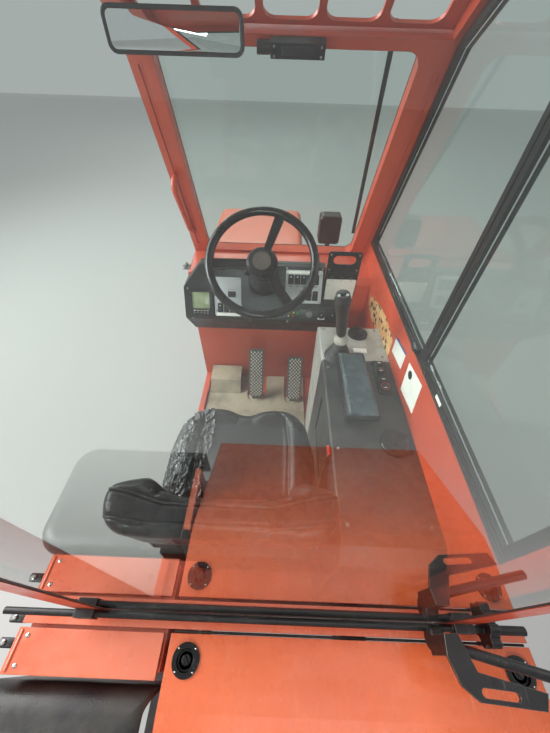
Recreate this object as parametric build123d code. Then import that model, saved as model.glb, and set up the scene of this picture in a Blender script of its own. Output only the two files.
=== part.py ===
from build123d import *
from math import atan2, cos, degrees, hypot, radians, sin
import os

# Operator cab of a telehandler with the rear deck behind it, on a short chassis frame.
# All sizes are millimetres. X is to the right, Y is forward, Z is up from the ground.

os.makedirs("parts", exist_ok=True)

# Driving dimensions of the cab
FLOOR_Z = 300.0          # top of the cab floor
ROOF_Z = 1740.0          # top of the roof rails
CAB_LEFT = -368.0        # outside of the open left side
CAB_RIGHT = 400.0        # outside of the right wall
CAB_MID = (CAB_LEFT + CAB_RIGHT) / 2
CAB_W = CAB_RIGHT - CAB_LEFT
WALL_T = 30.0            # double-skinned side wall
REAR_Y = -360.0          # outside of the rear posts
FRONT_WALL_Y = 690.0     # inside of the lower front wall
SKIN_T = 25.0            # folded front and rear panels
SEAT_GAP = 0.3           # gap where one piece only rests against another
RUN_FIT = 0.08           # radial play of a pin in its hole
PANE_T = 6.0             # window glass
SEAL_W = 14.0            # rubber seal round a pane

# Windscreen plane: outside face, from its foot to its head
SCREEN_FOOT_Y = 914.0
SCREEN_FOOT_Z = 920.0
SCREEN_HEAD_Y = 606.0
ROOF_DROP = 162.0        # from the roof down to the head of the screen
SCREEN_HEAD_Z = ROOF_Z - ROOF_DROP
PILLAR_LEFT_W = 60.0
PILLAR_RIGHT_W = 95.0
PILLAR_D = 45.0
HEADER_H = 22.0
COWL_BAR_H = 24.0
REBATE_W = 10.0          # step outside the frame that takes the pane
REBATE_D = 9.0
BEAD = 3.0               # rubber round the pane in that step
FLUTE_W = 12.0
FLUTE_D = 4.0
SCREEN_CORNER_R = 34.0
RAKE = atan2(SCREEN_FOOT_Y - SCREEN_HEAD_Y, SCREEN_HEAD_Z - SCREEN_FOOT_Z)
SCREEN_LEN = hypot(SCREEN_FOOT_Y - SCREEN_HEAD_Y, SCREEN_HEAD_Z - SCREEN_FOOT_Z)
OPEN_LEFT = CAB_LEFT + PILLAR_LEFT_W
OPEN_RIGHT = CAB_RIGHT - PILLAR_RIGHT_W
OPEN_H = SCREEN_LEN - HEADER_H - COWL_BAR_H
SCREEN = Plane(
    origin=(0, SCREEN_FOOT_Y, SCREEN_FOOT_Z),
    x_dir=(1, 0, 0),
    z_dir=(0, -cos(RAKE), -sin(RAKE)),
)

# Roof grille: the slope between the header and the roof
GRILLE_TOP_Y = 400.0
GRILLE_T = 8.0
GRILLE_OPENINGS = 5
GRILLE_OPEN_W = 116.0
GRILLE_BAR_W = 16.0
GRILLE_SIDE = 12.0       # from the left rail to the first opening
GRILLE_START = 9.0
GRILLE_CORNER_R = 26.0
GRILLE_EDGE = 11.0
RAIL_W = 40.0
RAIL_H = 50.0
ROOF_T = 22.0

# Side window and rear window
SILL_Z = 985.0
SIDE_HEAD_Z = ROOF_Z - RAIL_H
SIDE_FRAME_W = 26.0
SIDE_FRAME_T = 24.0
STILE_W = 30.0
STILE_Y = 150.0
POST_W = 50.0
POST_D = 60.0
REAR_SILL_Z = 760.0
REAR_HEAD_Z = ROOF_Z - RAIL_H - 10

# Floor fittings
SILL_W = 30.0
SILL_H = 18.0
MAT_T = 8.0
REST_W = 150.0
REST_H = 80.0
REST_FOOT_Y = 560.0

# Chassis frame
RAIL_X = 300.0
BEAM_W = 90.0
BEAM_H = 150.0
BEAM_T = 10.0
BEAM_REAR_Y = -880.0
BEAM_FRONT_Y = 1440.0
CROSS_W = 90.0
ISOLATOR_R = 38.0
ISOLATOR_Z = FLOOR_Z - 60
MOUNT_HOLE_R = 9.0
MOUNT_X = RAIL_X + BEAM_W / 2 + 25
MOUNT_Y = 700.0
FOOT_T = 14.0
FOOT_W = 150.0

# Rear deck
DECK_Z = 745.0           # top of the hood and of the strip in front of it
HOOD_LEFT_X = -184.0
HOOD_RIGHT_X = 520.0
HOOD_FRONT_Y = -388.0
HOOD_BEND_Y = -505.0
HOOD_REAR_Y = -850.0
HOOD_REAR_Z = 560.0
HOOD_T = 4.0
HOOD_GAP = 6.0
FLAP_GAP = 14.0
HOOD_SKIRT = 40.0
DECK_STRIP_FRONT = -364.0
FLAP_LEFT_X = -484.0
FLAP_REAR_Y = -455.0
DECK_WALL = 5.0
FENDER_LEFT_X = -560.0
FENDER_RIGHT_X = HOOD_LEFT_X - 11
FENDER_FRONT_Y = -462.0
FENDER_REAR_Y = -735.0
FENDER_T = 8.0
FENDER_H = 150.0
LATCH_R = 22.0
LATCH_INSET = 37.0
LATCH_BACK = 38.0
HOOD_HINGE_XS = (HOOD_LEFT_X + 110, HOOD_RIGHT_X - 110)
HOOD_HINGE_Y = HOOD_REAR_Y - 6
HOOD_HINGE_Z = HOOD_REAR_Z - 86
HOOD_HINGE_PIN_R = 5.0
LATCH_XS = (HOOD_LEFT_X + LATCH_INSET, HOOD_RIGHT_X - LATCH_INSET)
FLAP_HINGE_XS = (FLAP_LEFT_X + 50, HOOD_LEFT_X - FLAP_GAP - 50)
FLAP_HINGE_Y = HOOD_FRONT_Y - 8
FLAP_HINGE_Z = DECK_Z - 10
FLAP_PIN_R = 2.5

# Bar across the rear window
BAR_R = 6.0
BAR_Z = 790.0
BAR_Y = REAR_Y - BAR_R - 0.5
BAR_LEFT_X = -500.0
BAR_RIGHT_X = 430.0
CLAMP_X = 320.0
COLLAR_R = 20.0
COLLAR_Y = REAR_Y - COLLAR_R - 1
ARM_PLATE_Z = 858.0
KNOB_X = 424.0
KNOB_R = 30.0

# Controls
WHEEL_X = -56.0
WHEEL_Y = 525.0
WHEEL_Z = 1050.0
WHEEL_R = 188.0
WHEEL_RIM_R = 14.0
HUB_R = 51.0
SPOKE_ANGLES = (71, 183, 304)
COLUMN_TILT = radians(50)
DASH_LEFT_X = CAB_LEFT
DASH_RIGHT_X = 176.0
DASH_LOW_Y = 575.0
DASH_LOW_Z = 780.0
DASH_HIGH_Y = 656.0
DASH_HIGH_Z = 968.0
DASH_UNDER_Z = 640.0
DASH_STEP_Z = 830.0       # top of the low part on the right
DISPLAY_W = 96.0
DISPLAY_X = DASH_LEFT_X + 66
LEFT_PANEL_X = DISPLAY_X + 106
RIGHT_PANEL_W = 140.0
RIGHT_PANEL_X = DASH_RIGHT_X - RIGHT_PANEL_W / 2 - 9
STRIP_W = 250.0
STRIP_RIGHT_X = DASH_RIGHT_X + 102
PEDAL_W = 72.0
PEDAL_T = 8.0

# Console on the right and the seat
CONSOLE_W = 220.0
CONSOLE_X = CAB_RIGHT - WALL_T - CONSOLE_W
CONSOLE_Z = 840.0
CONSOLE_FRONT_Y = 474.0
CONSOLE_REAR_Y = -270.0
CUP_R = 28.0
CUP_X = CAB_RIGHT - WALL_T - 84
CUP_Y = 430.0
STICK_X = CONSOLE_X + 54
STICK_Y = 318.0
GRIP_SECTIONS = (        # height, half width, half depth of the grip
    (30, 14, 14), (60, 17, 18), (95, 17, 20), (130, 21, 25), (158, 24, 28), (176, 19, 22),
)
ARM_X = CONSOLE_X + 81
ARM_W = 94.0
ARM_REAR_Y = 33.0
ARM_FRONT_Y = 285.0
ARM_TOP_Z = CONSOLE_Z + 62
ROCKER_X = CAB_RIGHT - WALL_T - 40
VENT_R = 38.0
VENT_X = CAB_RIGHT - WALL_T - 52
SEAT_W = 430.0
SEAT_X = CONSOLE_X - 19 - SEAT_W / 2
RAIL_FOOT_Z = FLOOR_Z + 240
RAIL_TOP_Z = FLOOR_Z + 258
SEAT_FRONT_Y = 165.0
SEAT_REAR_Y = -250.0
CUSHION_Z = 770.0
CUSHION_T = 110.0
BACK_H = 236.0
BACK_T = 62.0
BACK_W = SEAT_W + 6
BACK_WING = 34.0
BACK_WING_W = 82.0
BACK_CORNER_R = 42.0
BACK_TILT = 8.0
BACK_FRONT = 16.0        # front of the middle pad ahead of the pivot
BACK_WAIST = 46.0        # where the wings start above the pivot
BACK_FOOT = 10.0
EAR_ROOM = 22.0
BACK_PIVOT_Y = SEAT_REAR_Y + 55.0
BACK_PIVOT_Z = CUSHION_Z + 12.0

# Pedals: name, x, foot y, foot z, head y, head z
PEDALS = (
    ("brake", -93.0, 534.0, 322.0, 650.0, 540.0),
    ("accelerator", 94.0, 526.0, 320.0, 640.0, 505.0),
)

# Fittings
MIRROR_X = -212.0
MIRROR_Y = 450.0
MIRROR_Z = SCREEN_HEAD_Z - 20
MIRROR_W = 262.0
MIRROR_H = 66.0
MIRROR_BALL_R = 9.0
CARD_X = 242.0
CARD_W = 124.0
CARD_H = 196.0
CARD_MID_Z = 931.0
LAMP_X = 212.0
WIPER_X = OPEN_RIGHT - 62
WIPER_UP = SCREEN_LEN - 10
WIPER_LEN = SCREEN_LEN - 90
WIPER_ANGLE = 5.5
SPINDLE_R = 6.0
BOSS_H = 13.5
WIPER_MOTOR_X = 25.0
COVER_LEFT_X = -345.0
COVER_RIGHT_X = 112.0
COVER_REAR_Y = 985.0
COVER_FRONT_Y = 1500.0
COVER_TOP_Z = 870.0
COVER_T = 5.0


def box(x0, x1, y0, y1, z0, z1):
    """A box between two corners."""
    return Pos((x0 + x1) / 2, (y0 + y1) / 2, (z0 + z1) / 2) * Box(abs(x1 - x0), abs(y1 - y0), abs(z1 - z0))


def side_form(points, x0, x1):
    """A side outline of (y, z) points, drawn across from x0 to x1."""
    outline = make_face(Plane.YZ * Polyline(*points, close=True))
    return Pos(x0, 0, 0) * extrude(outline, amount=x1 - x0, dir=(1, 0, 0))


def plan_form(points, z0, z1):
    """A plan outline of (x, y) points, drawn up from z0 to z1."""
    outline = make_face(Polyline(*points, close=True))
    return Pos(0, 0, z0) * extrude(outline, amount=z1 - z0, dir=(0, 0, 1))


def rod(start, end, radius):
    """A round bar between two points."""
    a = Vector(*start)
    b = Vector(*end)
    plane = Plane(origin=a, z_dir=(b - a))
    return plane * Pos(0, 0, (b - a).length / 2) * Cylinder(radius, (b - a).length)


def rounded_plate(width, height, radius, thickness):
    """A plate with round corners, in the XY plane, thickness up from z = 0."""
    return extrude(RectangleRounded(width, height, radius), amount=thickness)


def group(*solids):
    """Separate solids that share one node."""
    return Compound(children=list(solids))


def save(name, shape):
    """Write one node."""
    export_step(shape, f"parts/{name}.step")
    print(name, round(shape.volume / 1000), "cm3")


# Chassis frame and floor

def make_subframe():
    """Two channel beams with cross members, feet and the four holes that bolt it down."""
    frame = None
    for side in (-1, 1):
        outer = box(0, BEAM_W, BEAM_REAR_Y, BEAM_FRONT_Y, 0, BEAM_H)
        hollow = box(BEAM_T, BEAM_W + 1, BEAM_REAR_Y - 1, BEAM_FRONT_Y + 1, BEAM_T, BEAM_H - BEAM_T)
        channel = outer - hollow
        if side < 0:
            channel = mirror(channel, Plane.YZ)
        channel = Pos(side * (RAIL_X - BEAM_W / 2), 0, 0) * channel
        frame = channel if frame is None else frame + channel
    inner = RAIL_X - BEAM_W / 2 + BEAM_T
    for y in (BEAM_REAR_Y + 60, REAR_Y + 110, 250, FRONT_WALL_Y + 50, BEAM_FRONT_Y - 60):
        frame += box(-inner, inner, y - CROSS_W / 2, y + CROSS_W / 2, BEAM_T, BEAM_H - BEAM_T)
    for y in (HOOD_FRONT_Y - 60, HOOD_REAR_Y + 40):
        frame += box(FENDER_LEFT_X + 60, HOOD_RIGHT_X, y - CROSS_W / 2, y + CROSS_W / 2, BEAM_T * 3, BEAM_H)
    for side in (-1, 1):
        for y in (-MOUNT_Y, MOUNT_Y):
            x = side * (RAIL_X + 20)
            frame += box(x - FOOT_W / 2, x + FOOT_W / 2, y - FOOT_W / 2, y + FOOT_W / 2, 0, FOOT_T)
            frame -= Pos(side * MOUNT_X, y, FOOT_T / 2) * Cylinder(MOUNT_HOLE_R, FOOT_T * 4)
    return frame


def make_isolators():
    """Four rubber mounts under the cab floor, each with a waist."""
    height = ISOLATOR_Z - BEAM_H
    profile = make_face(Polyline(
        (0, 0), (ISOLATOR_R, 0), (ISOLATOR_R, height * 0.2), (ISOLATOR_R - 8, height * 0.4),
        (ISOLATOR_R - 8, height * 0.6), (ISOLATOR_R, height * 0.8), (ISOLATOR_R, height), (0, height), close=True))
    mount = revolve(Plane.XZ * profile, Axis.Z)
    return group(*[
        Pos(x, y, BEAM_H) * mount
        for x in (-RAIL_X, RAIL_X) for y in (REAR_Y + 110, FRONT_WALL_Y - 90)
    ])


def make_floor():
    """Folded floor tray with a raised sill on the open left side."""
    tray = box(CAB_LEFT, CAB_RIGHT, REAR_Y, FRONT_WALL_Y + SKIN_T, ISOLATOR_Z, FLOOR_Z)
    well = box(CAB_LEFT + 60, CAB_RIGHT - 60, REAR_Y + 60, FRONT_WALL_Y - 35, ISOLATOR_Z - 1, FLOOR_Z - 6)
    sill = box(CAB_LEFT, CAB_LEFT + SILL_W, REAR_Y + POST_D, FRONT_WALL_Y, FLOOR_Z, FLOOR_Z + SILL_H)
    sill = fillet(sill.edges().filter_by(Axis.Y).group_by(Axis.Z)[-1], 5)
    tray = tray - well + sill
    for x in (-RAIL_X, RAIL_X):
        tray += box(x - ISOLATOR_R, x + ISOLATOR_R, REAR_Y + 60, FRONT_WALL_Y - 35, ISOLATOR_Z, FLOOR_Z - 6)
    return tray


def make_mat():
    """Floor mat with its raised footrest and the two cut-outs round the pedals."""
    left = CAB_LEFT + SILL_W + 5
    front = FRONT_WALL_Y - 5
    mat = box(left, CONSOLE_X - 4, -150, front, FLOOR_Z, FLOOR_Z + MAT_T)
    rest = side_form(
        [
            (REST_FOOT_Y, FLOOR_Z + MAT_T), (front, FLOOR_Z + MAT_T), (front, FLOOR_Z + REST_H),
            (REST_FOOT_Y + 40, FLOOR_Z + REST_H - 14),
        ],
        left + 8, left + 8 + REST_W,
    )
    mat += rest
    for name, x, foot_y, foot_z, head_y, head_z in PEDALS:
        mat -= Pos(x, foot_y + 20, FLOOR_Z + 5) * Cylinder(PEDAL_W * 0.64, 20)
        mat -= box(x - PEDAL_W * 0.64, x + PEDAL_W * 0.64, foot_y + 20, FRONT_WALL_Y, FLOOR_Z - 1, FLOOR_Z + 20)
    return mat


# Body panels

def make_front_wall():
    """Lower front wall, the cowl over it and the two cheeks that carry the pillars."""
    z0 = FLOOR_Z
    cowl_z = SCREEN_FOOT_Z - 2
    wall = side_form(
        [
            (FRONT_WALL_Y, z0),
            (FRONT_WALL_Y + SKIN_T, z0),
            (FRONT_WALL_Y + SKIN_T, cowl_z - 62),
            (SCREEN_FOOT_Y - 12, cowl_z - 22),
            (SCREEN_FOOT_Y - 2, cowl_z),
            (FRONT_WALL_Y + 22, cowl_z - 20),
            (FRONT_WALL_Y, cowl_z - 42),
        ],
        CAB_LEFT, CAB_RIGHT,
    )
    for x in (CAB_LEFT, CAB_RIGHT - WALL_T):
        wall += side_form(
            [
                (FRONT_WALL_Y + SKIN_T, z0 + 300),
                (SCREEN_FOOT_Y - 12, cowl_z - 22),
                (FRONT_WALL_Y + SKIN_T, cowl_z - 62),
            ],
            x, x + WALL_T,
        )
    wall += box(LAMP_X - 26, LAMP_X + 26, SCREEN_FOOT_Y - 20, SCREEN_FOOT_Y + 62, SCREEN_FOOT_Z - 28, SCREEN_FOOT_Z - 22.3)
    return wall - screen_slab()


def screen_slab():
    """The space that the windscreen frame takes."""
    return SCREEN * Pos(CAB_MID, SCREEN_LEN / 2, PILLAR_D / 2) * Box(CAB_W + 20, SCREEN_LEN, PILLAR_D)


def make_front_frame():
    """Windscreen frame: two raked pillars with a flute, the header, the cowl bar and the wiper boss."""
    plate = Pos(CAB_MID, SCREEN_LEN / 2, 0) * extrude(Rectangle(CAB_W, SCREEN_LEN), amount=PILLAR_D)
    frame = plate - screen_pane(0, PILLAR_D + 2, -1) - screen_pane(-REBATE_W, REBATE_D + 1, -1)
    for x in (CAB_LEFT + 26, CAB_RIGHT - PILLAR_RIGHT_W / 2):
        frame -= Pos(x, SCREEN_LEN / 2, PILLAR_D) * Box(FLUTE_W, SCREEN_LEN - 120, 2 * FLUTE_D)
    boss = Pos(WIPER_X, WIPER_UP, -BOSS_H / 2) * Box(26, 20, BOSS_H)
    bore = Pos(WIPER_X, WIPER_UP, -BOSS_H / 2) * Cylinder(SPINDLE_R + RUN_FIT, BOSS_H + 2)
    return SCREEN * (frame + boss - bore)


def screen_pane(inset, thickness, depth):
    """A rounded pane in the windscreen opening, inset from its edge."""
    return Pos((OPEN_LEFT + OPEN_RIGHT) / 2, COWL_BAR_H + OPEN_H / 2, depth) * rounded_plate(
        OPEN_RIGHT - OPEN_LEFT - 2 * inset, OPEN_H - 2 * inset, SCREEN_CORNER_R - inset * 0.6, thickness)


def inner_screen_y(z, depth):
    """Y of the plane that lies a given depth inside the windscreen, at height z."""
    y0 = SCREEN_FOOT_Y - depth * cos(RAKE)
    z0 = SCREEN_FOOT_Z - depth * sin(RAKE)
    return y0 - (z - z0) * sin(RAKE) / cos(RAKE)


def make_right_wall():
    """Double-skinned wall under the right window."""
    return side_form(
        [
            (REAR_Y + POST_D, FLOOR_Z),
            (FRONT_WALL_Y, FLOOR_Z),
            (FRONT_WALL_Y, SCREEN_FOOT_Z - 44),
            (FRONT_WALL_Y + 22, SCREEN_FOOT_Z - 22),
            (inner_screen_y(SCREEN_FOOT_Z - 14, PILLAR_D), SCREEN_FOOT_Z - 14),
            (inner_screen_y(SILL_Z, PILLAR_D), SILL_Z),
            (REAR_Y + POST_D, SILL_Z),
        ],
        CAB_RIGHT - WALL_T, CAB_RIGHT,
    ) - make_front_wall()


def make_rear_frame():
    """Rear posts, the wall under the rear window and the rail over it."""
    frame = box(CAB_LEFT, CAB_RIGHT, REAR_Y, REAR_Y + SKIN_T, FLOOR_Z, REAR_SILL_Z)
    frame += box(CAB_LEFT, CAB_RIGHT, REAR_Y, REAR_Y + POST_D, REAR_HEAD_Z, ROOF_Z)
    for x in (CAB_LEFT, CAB_RIGHT - POST_W):
        frame += box(x, x + POST_W, REAR_Y, REAR_Y + POST_D, FLOOR_Z, ROOF_Z)
    return frame


def make_roof_frame():
    """Cant rails on both sides, which bend down to the header."""
    head = SCREEN_HEAD_Z
    rails = None
    for x0 in (CAB_LEFT, CAB_RIGHT - RAIL_W):
        rail = side_form(
            [
                (REAR_Y + POST_D, ROOF_Z),
                (GRILLE_TOP_Y, ROOF_Z),
                (SCREEN_HEAD_Y, head),
                (SCREEN_HEAD_Y - PILLAR_D * cos(RAKE), head - PILLAR_D * sin(RAKE)),
                (GRILLE_TOP_Y - 20, ROOF_Z - RAIL_H),
                (REAR_Y + POST_D, ROOF_Z - RAIL_H),
            ],
            x0, x0 + RAIL_W,
        )
        rails = rail if rails is None else rails + rail
    rails += box(CAB_LEFT + RAIL_W, CAB_RIGHT - RAIL_W, GRILLE_TOP_Y - 60, GRILLE_TOP_Y - 8, ROOF_Z - RAIL_H, ROOF_Z - 6)
    return rails


def make_roof_panel():
    """Roof sheet with two pressed ribs and a rounded edge."""
    panel = box(CAB_LEFT - 6, CAB_RIGHT + 6, REAR_Y - 20, GRILLE_TOP_Y - 2, ROOF_Z, ROOF_Z + ROOF_T)
    panel = fillet(panel.edges().filter_by(Axis.Z), 20)
    panel = chamfer(panel.edges().group_by(Axis.Z)[-1], 6)
    for x in (CAB_MID - 170, CAB_MID + 170):
        panel -= Pos(x, (REAR_Y + GRILLE_TOP_Y) / 2, ROOF_Z + ROOF_T - 5) * extrude(
            SlotOverall(GRILLE_TOP_Y - REAR_Y - 160, 60, rotation=90), amount=6)
    return panel


def make_roof_grille():
    """Sloping guard with five openings, between the header and the roof."""
    dy = SCREEN_HEAD_Y - GRILLE_TOP_Y
    dz = ROOF_Z - SCREEN_HEAD_Z
    length = hypot(dy, dz)
    slope = Plane(
        origin=(0, SCREEN_HEAD_Y, SCREEN_HEAD_Z),
        x_dir=(1, 0, 0),
        z_dir=(0, -dz / length, -dy / length),
    )
    left = CAB_LEFT + RAIL_W + SEAT_GAP
    right = CAB_RIGHT - RAIL_W - SEAT_GAP
    height = length - GRILLE_START - 10
    plate = Pos((left + right) / 2, GRILLE_START + height / 2, 4) * extrude(
        Rectangle(right - left, height), amount=GRILLE_T)
    open_h = height - 2 * GRILLE_EDGE
    for i in range(GRILLE_OPENINGS):
        x = left + GRILLE_SIDE + GRILLE_OPEN_W / 2 + i * (GRILLE_OPEN_W + GRILLE_BAR_W)
        plate -= Pos(x, GRILLE_START + height / 2, 0) * rounded_plate(
            GRILLE_OPEN_W, open_h, GRILLE_CORNER_R, GRILLE_T * 3)
    return slope * plate


def side_window_outline(inset, z_low, z_high, y_rear):
    """Outline of the side window opening, inset evenly from its edges."""
    bend_z = SCREEN_HEAD_Z - 78
    return [
        (y_rear + inset, z_low + inset),
        (inner_screen_y(z_low + inset, PILLAR_D) - inset * 1.15, z_low + inset),
        (inner_screen_y(bend_z, PILLAR_D) - inset * 1.15, bend_z),
        (inner_screen_y(SCREEN_HEAD_Z - 30, PILLAR_D) - inset * 1.2, SCREEN_HEAD_Z - 30),
        (GRILLE_TOP_Y - 26 - inset * 0.4, z_high - inset),
        (y_rear + inset, z_high - inset),
    ]


def make_side_window_frame():
    """Black window frame with the ribbed sliding track, the stile and the catch."""
    y_rear = REAR_Y + POST_D
    x0 = CAB_RIGHT - WALL_T + 2
    outer = side_form(side_window_outline(SEAT_GAP, SILL_Z, SIDE_HEAD_Z, y_rear), x0, x0 + SIDE_FRAME_T)
    inner = side_form(side_window_outline(SIDE_FRAME_W, SILL_Z, SIDE_HEAD_Z, y_rear), x0 - 1, x0 + SIDE_FRAME_T + 1)
    frame = outer - inner
    stile = box(x0, x0 + SIDE_FRAME_T, STILE_Y - STILE_W / 2, STILE_Y + STILE_W / 2,
                SILL_Z + SIDE_FRAME_W - 1, SIDE_HEAD_Z - SIDE_FRAME_W + 1)
    frame += stile
    for z in (SILL_Z + 8, SILL_Z + 17):
        frame -= box(x0 - 1, x0 + 2.5, y_rear + 12, inner_screen_y(SILL_Z, PILLAR_D) - 40, z - 1.5, z + 1.5)
    frame -= box(x0 - 1, x0 + 2.5, STILE_Y - 3, STILE_Y + 3, SILL_Z + SIDE_FRAME_W + 30, SIDE_HEAD_Z - SIDE_FRAME_W - 30)
    catch = box(x0 - 12, x0 + 1, STILE_Y + 22, STILE_Y + 52, SILL_Z + 12, SILL_Z + 30)
    return frame + chamfer(catch.edges().group_by(Axis.X)[0], 4)


def make_side_glass(front):
    """One of the two panes of the side window."""
    y_rear = REAR_Y + POST_D
    x0 = CAB_RIGHT - WALL_T + 10
    whole = side_form(side_window_outline(SIDE_FRAME_W + SEAT_GAP, SILL_Z, SIDE_HEAD_Z, y_rear), x0, x0 + PANE_T)
    edge = STILE_W / 2 + SEAT_GAP
    if front:
        return whole - box(x0 - 1, x0 + PANE_T + 1, y_rear - 50, STILE_Y + edge, SILL_Z, SIDE_HEAD_Z)
    return whole - box(x0 - 1, x0 + PANE_T + 1, STILE_Y - edge, SCREEN_FOOT_Y, SILL_Z, SIDE_HEAD_Z)


def rear_pane(inset, thickness, y0):
    """A rounded pane in the rear opening, inset from its edge."""
    width = CAB_W - 2 * (POST_W + inset)
    height = REAR_HEAD_Z - REAR_SILL_Z - 2 * inset
    plane = Plane(origin=(CAB_MID, y0, (REAR_HEAD_Z + REAR_SILL_Z) / 2), x_dir=(1, 0, 0), z_dir=(0, -1, 0))
    return plane * rounded_plate(width, height, 30, thickness)


def make_window_seals():
    """Rubber rings that hold the windscreen and the rear window."""
    front = screen_pane(SEAT_GAP - REBATE_W, REBATE_D - SEAT_GAP, 0)
    front -= screen_pane(BEAD - REBATE_W, PANE_T + 2, -1)
    front -= screen_pane(1, REBATE_D + 2, -1)
    rear = rear_pane(SEAT_GAP, 17, REAR_Y + 18) - rear_pane(SEAL_W, 20, REAR_Y + 20)
    return group(SCREEN * front, rear)


def make_window_glass():
    """The windscreen, the rear window and the two panes of the side window."""
    return group(
        SCREEN * screen_pane(BEAD + SEAT_GAP - REBATE_W, PANE_T, SEAT_GAP),
        rear_pane(SEAL_W + SEAT_GAP, PANE_T, REAR_Y + 1 + PANE_T),
        make_side_glass(True),
        make_side_glass(False),
    )


# Dashboard and controls

def dash_plane(x, along):
    """Plane on the sloping dash face, its Y up the slope, its Z out of the face."""
    dy = DASH_HIGH_Y - DASH_LOW_Y
    dz = DASH_HIGH_Z - DASH_LOW_Z
    length = hypot(dy, dz)
    return Plane(
        origin=(x, DASH_LOW_Y + dy * along / length, DASH_LOW_Z + dz * along / length),
        x_dir=(1, 0, 0),
        z_dir=(0, -dz / length, dy / length),
    )


DASH_LEN = hypot(DASH_HIGH_Y - DASH_LOW_Y, DASH_HIGH_Z - DASH_LOW_Z)


def make_dash():
    """Black moulded dash housing against the front wall, lower on the right."""
    back = FRONT_WALL_Y - SEAT_GAP
    body = side_form(
        [
            (DASH_LOW_Y, DASH_LOW_Z),
            (DASH_HIGH_Y, DASH_HIGH_Z),
            (back + 8, DASH_HIGH_Z - 2),
            (back + 8, SCREEN_FOOT_Z - 16),
            (back, SCREEN_FOOT_Z - 44),
            (back, DASH_UNDER_Z),
            (back - 25, DASH_UNDER_Z + 8),
            (DASH_LOW_Y + 4, DASH_LOW_Z - 14),
        ],
        DASH_LEFT_X, DASH_RIGHT_X,
    )
    corner = extrude(Plane.XZ * make_face(Polyline(
        (DASH_LEFT_X - 1, DASH_HIGH_Z - 84), (DASH_LEFT_X + 70, DASH_HIGH_Z + 1), (DASH_LEFT_X - 1, DASH_HIGH_Z + 1),
        close=True)), amount=400, both=True)
    body -= Pos(0, FRONT_WALL_Y, 0) * corner
    rise = (DASH_HIGH_Y - DASH_LOW_Y) / (DASH_HIGH_Z - DASH_LOW_Z)
    body += side_form(
        [
            (DASH_LOW_Y, DASH_LOW_Z),
            (DASH_LOW_Y + (DASH_STEP_Z - DASH_LOW_Z) * rise, DASH_STEP_Z),
            (back, DASH_STEP_Z),
            (back, DASH_UNDER_Z),
            (back - 25, DASH_UNDER_Z + 8),
            (DASH_LOW_Y + 4, DASH_LOW_Z - 14),
        ],
        DASH_RIGHT_X - 1, STRIP_RIGHT_X,
    )
    rim = [e for e in body.edges().filter_by(Axis.X) if abs(e.center().Y - DASH_HIGH_Y) < 1 and e.length > 300]
    return fillet(rim, 5)


def make_display():
    """Display housing at the left end of the dash."""
    bezel = rounded_plate(DISPLAY_W, 102, 8, 9)
    bezel -= Pos(0, 12, 5) * rounded_plate(70, 66, 3, 10)
    for i in range(5):
        bezel += Pos((i - 2) * 13, -36, 9) * rounded_plate(9, 8, 2, 2.5)
    return dash_plane(DISPLAY_X, 54) * Pos(0, 0, SEAT_GAP) * bezel


def rocker(x, y, base):
    """One rocker switch in its frame."""
    key = rounded_plate(15, 34, 2, 7) - Pos(0, 0, 7) * Rot(8, 0, 0) * Box(20, 18, 5)
    return Pos(x, y, base) * key


def make_switch_panels():
    """Switch panels: two on the dash, the key strip below them and one on the console."""
    left = rounded_plate(106, 150, 6, 5)
    for x in (-26, -4, 18):
        left += rocker(x, -48, 5)
    left += Pos(16, 12, 5) * rounded_plate(30, 22, 3, 4)
    right = rounded_plate(RIGHT_PANEL_W, 124, 6, 5)
    for i in range(5):
        right += rocker(-50 + i * 24, 28, 5)
    for i in range(3):
        right += rocker(-2 + i * 24, -32, 5)
    return group(
        dash_plane(LEFT_PANEL_X, 82) * Pos(0, 0, SEAT_GAP) * left,
        dash_plane(RIGHT_PANEL_X, 130) * Pos(0, 0, SEAT_GAP) * right,
        dash_plane(STRIP_RIGHT_X - STRIP_W / 2 - 5, 25) * Pos(0, 0, SEAT_GAP) * key_strip(),
        Pos(ROCKER_X, 228, CONSOLE_Z + SEAT_GAP) * rocker_panel(),
    )


def key_strip():
    """Lower strip with the warning lamps, the key switch and two sockets."""
    up = (Align.CENTER, Align.CENTER, Align.MIN)
    strip = rounded_plate(STRIP_W, 40, 5, 4)
    for x, y in ((-104, 6), (-104, -8), (-84, 6), (-84, -8)):
        strip += Pos(x, y, 4) * Cylinder(4.5, 3, align=up)
    strip += Pos(-22, 0, 4) * Cylinder(13, 7, align=up)
    strip += Pos(-22, 0, 11) * rounded_plate(5, 22, 2, 12)
    for x in (26, 70):
        strip += Pos(x, 0, 4) * (Cylinder(15, 9, align=up) - Pos(0, 0, 3) * Cylinder(10, 9, align=up))
    return strip


def column_plane(distance):
    """Plane square to the steering column, a distance below the wheel's hub."""
    return Plane(
        origin=(WHEEL_X, WHEEL_Y + distance * cos(COLUMN_TILT), WHEEL_Z - distance * sin(COLUMN_TILT)),
        x_dir=(1, 0, 0),
        z_dir=(0, -cos(COLUMN_TILT), sin(COLUMN_TILT)),
    )


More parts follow.
